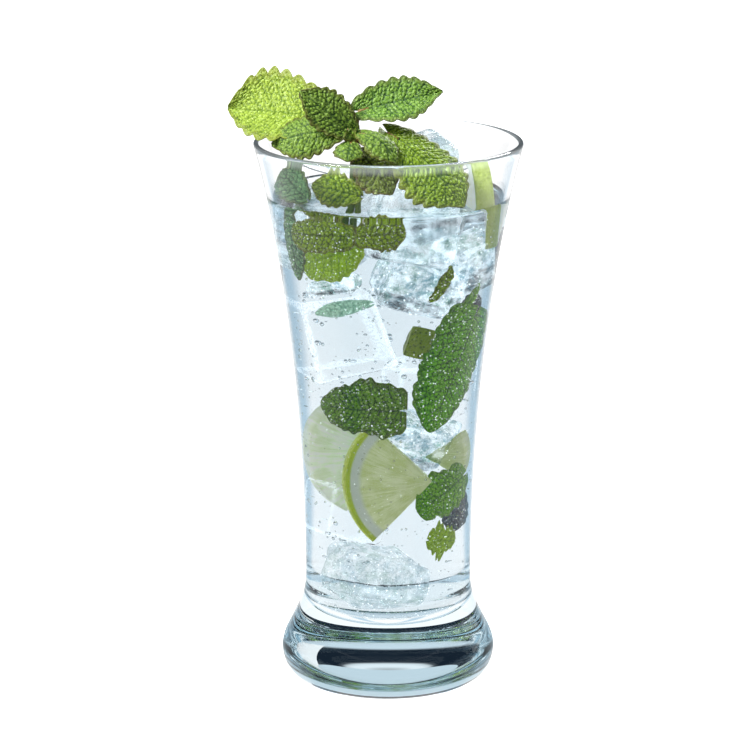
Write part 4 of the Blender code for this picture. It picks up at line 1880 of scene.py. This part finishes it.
SUNK_LEAVES = (
    Leaf("sunk_dark_left", (-0.0104, -0.0284, 0.1402), (-0.0258, -0.0146, 0.1382), 0.0100,
         (-0.45, -0.88, 0.20), bend=0.10, cup=-0.25, teeth=9, taper=0.1, blunt=0.30, tooth=0.08,
         ragged=0.06, look=Green.SOAKED_OLIVE),
    Leaf("sunk_flat", (-0.0080, -0.0236, 0.1366), (-0.0224, -0.0124, 0.1288), 0.0136,
         (-0.40, -0.90, 0.15), bend=0.06, cup=-0.10, teeth=8, taper=0.1, blunt=0.32, tooth=0.05,
         ragged=0.06, look=Green.SOAKED_BRIGHT),
    Leaf("sunk_right", (-0.0086, -0.0286, 0.1402), (0.0046, -0.0300, 0.1420), 0.0090,
         (-0.10, -0.98, 0.15), bend=0.08, cup=-0.2, teeth=8, taper=0.1, blunt=0.32, tooth=0.08,
         ragged=0.08, look=Green.SOAKED_OLIVE),
    Leaf("sunk_side", (-0.0254, -0.0118, 0.1436), (-0.0230, -0.0112, 0.1240), 0.0074,
         (-0.88, -0.48, 0.0), bend=0.04, cup=-0.2, teeth=7, blunt=0.35, look=Green.COOL),
    Leaf("sunk_big", (0.0229, -0.0116, 0.1128), (0.0108, -0.0191, 0.0802), 0.0196,
         (0.72, -0.69, 0.05), bend=0.03, cup=-0.40, teeth=12, fullest=0.38, taper=0.30, blunt=0.30,
         tooth=0.06, ragged=0.05, look=Green.SOAKED),
    Leaf("sunk_middle", (0.0030, -0.0218, 0.0874), (-0.0182, -0.0138, 0.0872), 0.0158,
         (-0.30, -0.95, 0.05), bend=0.11, cup=-0.30, teeth=10, fullest=0.36, taper=0.40, blunt=0.26,
         tooth=0.06, ragged=0.08, look=Green.SOAKED_DEEP),
    Leaf("sunk_low", (0.0198, -0.0080, 0.0638), (0.0078, -0.0190, 0.0560), 0.0134,
         (0.60, -0.80, 0.05), bend=0.08, cup=-0.25, teeth=9, fullest=0.45, taper=0.1, blunt=0.36,
         tooth=0.06, ragged=0.10, look=Green.SOAKED_FRESH),
    # painted shade: this leaf and the next are dark blue-grey scraps where the drink shows only shade
    Leaf("sunk_shadow", (0.0178, -0.0050, 0.0580), (0.0158, -0.0075, 0.0465), 0.0085,
         (0.60, -0.80, 0.0), bend=0.05, teeth=5, look=Green.PAINTED_SHADE),
    Leaf("sunk_shadow_high", (0.0178, -0.0128, 0.1132), (0.0224, -0.0050, 0.1180), 0.0075,
         (0.70, -0.70, 0.0), bend=0.05, teeth=5, look=Green.PAINTED_SHADE),
    # painted light: its pale colour and glow stand for the white of the ice that it is seen with
    Leaf("sunk_on_cube", (-0.0050, -0.0166, 0.1186), (-0.0198, -0.0176, 0.1150), 0.0046,
         (-0.20, -0.75, 0.60), bend=0.03, cup=0.1, teeth=5, tooth=0.05, look=Green.PAINTED_ICE_VEIL),
    Leaf("sunk_scrap", (0.0108, -0.0150, 0.0462), (0.0176, -0.0092, 0.0444), 0.0088,
         (0.55, -0.83, 0.0), bend=0.08, cup=-0.2, teeth=6, blunt=0.35, ragged=0.22,
         look=Green.SOAKED_BRIGHT),
    Leaf("sunk_edge_on", (0.0111, -0.0222, 0.1208), (0.0166, -0.0206, 0.1304), 0.0044,
         (0.80, -0.60, -0.2), bend=0.10, teeth=5, ragged=0.10, look=Green.SOAKED_OLIVE),
    Leaf("sunk_edge_low", (0.0173, -0.0180, 0.1142), (0.0238, -0.0112, 0.1230), 0.0032,
         (0.80, -0.60, -0.2), bend=0.10, teeth=5, look=Green.SOAKED_FRESH),
)

CLEAR_ICE = (
    IceCube((-0.0122, -0.0034, 0.1074), (0, -15, 10), (0.99, 0.85, 1.14), 21, bevel=0.0016),
    IceCube((0.0090, -0.0030, 0.0900), (4, 3, -12), (0.84, 0.86, 0.84), 23, bevel=0.0020),
    IceCube((-0.0098, -0.0040, 0.0520), (-4, 14, 14), (0.80, 0.80, 0.74), 25, bevel=0.0022),
)

ROUGH_ICE = (
    IceCube((0.0070, -0.0066, 0.1236), (14, 22, 16), (0.98, 0.72, 0.72), 22, melt=0.0011,
            frost=Frost.ROUGH),
    IceCube((0.0190, -0.0042, 0.1282), (20, -16, 38), (0.74, 0.62, 0.86), 27, melt=0.0008,
            frost=Frost.ROUGH),
    IceCube((-0.0138, -0.0148, 0.1238), (10, -14, -30), (0.72, 0.28, 0.24), 28, melt=0.0006,
            frost=Frost.ROUGH),
    IceCube((0.0066, -0.0036, 0.0745), (14, 22, 8), (0.76, 0.74, 0.66), 24, melt=0.0009,
            frost=Frost.ROUGH),
    IceCube((-0.0036, -0.0030, 0.0316), (14, 10, 36), (0.96, 0.88, 0.72), 26, melt=0.0008,
            frost=Frost.CLOUDY),
)

UPRIGHT_LIME = (
    LimeCut((0.0229, 0.0064, 0.1436), (0.258, -0.964, 0.07), (0.0, 0.0, 1.0), 0.0188, 0.0056, 78),
)

SUNK_LIME = (
    LimeCut((0.0116, -0.0156, 0.0645), (-1.0, -0.04, 0.0), (0.0, 0.05, 1.0), 0.0240, 0.0050, 96, 3),
    LimeCut((0.0090, -0.0020, 0.0700), (0.95, -0.20, 0.0), (0.0, 0.0, 1.0), 0.0115, 0.0050, 74, 2, 0.8),
)

PALE_LIME = (
    LimeCut((0.0020, 0.0030, 0.0700), (-1.0, -0.10, 0.05), (0.0, 0.0, 1.0), 0.0215, 0.0055, 120, 1, 0.8),
)

SUNK_PEEL = (
    LimeCut((0.0074, -0.0112, 0.1064), (0.10, -1.0, 0.10), (0.30, 0.0, 1.0), 0.0085, 0.0068, 66, 5),
)


def main() -> None:
    """Builds the drink in its glass and the studio round it."""
    logging.basicConfig(level=logging.INFO, format="%(name)s %(message)s")
    Studio().build()
    turning = turning_form()
    Tumbler(turning).build()
    drink = Drink(turning).build()
    ice = IceMaker()
    ice.standing(STANDING_ICE)
    mint = MintMaker()
    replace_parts(mint.build("sprig_of_mint", SPRIG_LEAVES, STEMS), "mint_sprig")
    for name, leaf in LOOSE_LEAVES.items():
        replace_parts(mint.build(name, [leaf]), leaf.name)
    lime = LimeMaker()
    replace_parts(lime.build("upright_lime", UPRIGHT_LIME, lime.fresh), "lime_wedge")
    below = mint.build("sunk_mint", SUNK_LEAVES)
    cold = ice.sunk("sunk_ice", CLEAR_ICE)
    rough = ice.sunk("sunk_rough_ice", ROUGH_ICE)
    slices = lime.build("sunk_lime", SUNK_LIME, lime.soaked)
    lime.build("sunk_pale_lime", PALE_LIME, lime.pale)
    lime.build("sunk_peel", SUNK_PEEL, lime.peel)
    fizz = Fizz(bubble_form())
    fizz.on(below, "bubbles_on_mint", 3.4e5, 0.00008, 0.00026, 3)
    fizz.on(cold, "bubbles_on_ice", 2.4e4, 0.00028, 0.00080, 4, clear=True)
    fizz.on(rough, "bubbles_on_rough_ice", 2.2e5, 0.00008, 0.00030, 7)
    fizz.on(slices, "bubbles_on_lime", 2.0e5, 0.00006, 0.00018, 5)
    fizz.on(drink, "bubbles_on_wall", 6.0e4, 0.00008, 0.00026, 6, lift=-3.5)
    fizz.on(drink, "rings_on_wall", 5.0e4, 0.00012, 0.00042, 8, lift=-2.5, clear=True)


if __name__ == "__main__":
    main()
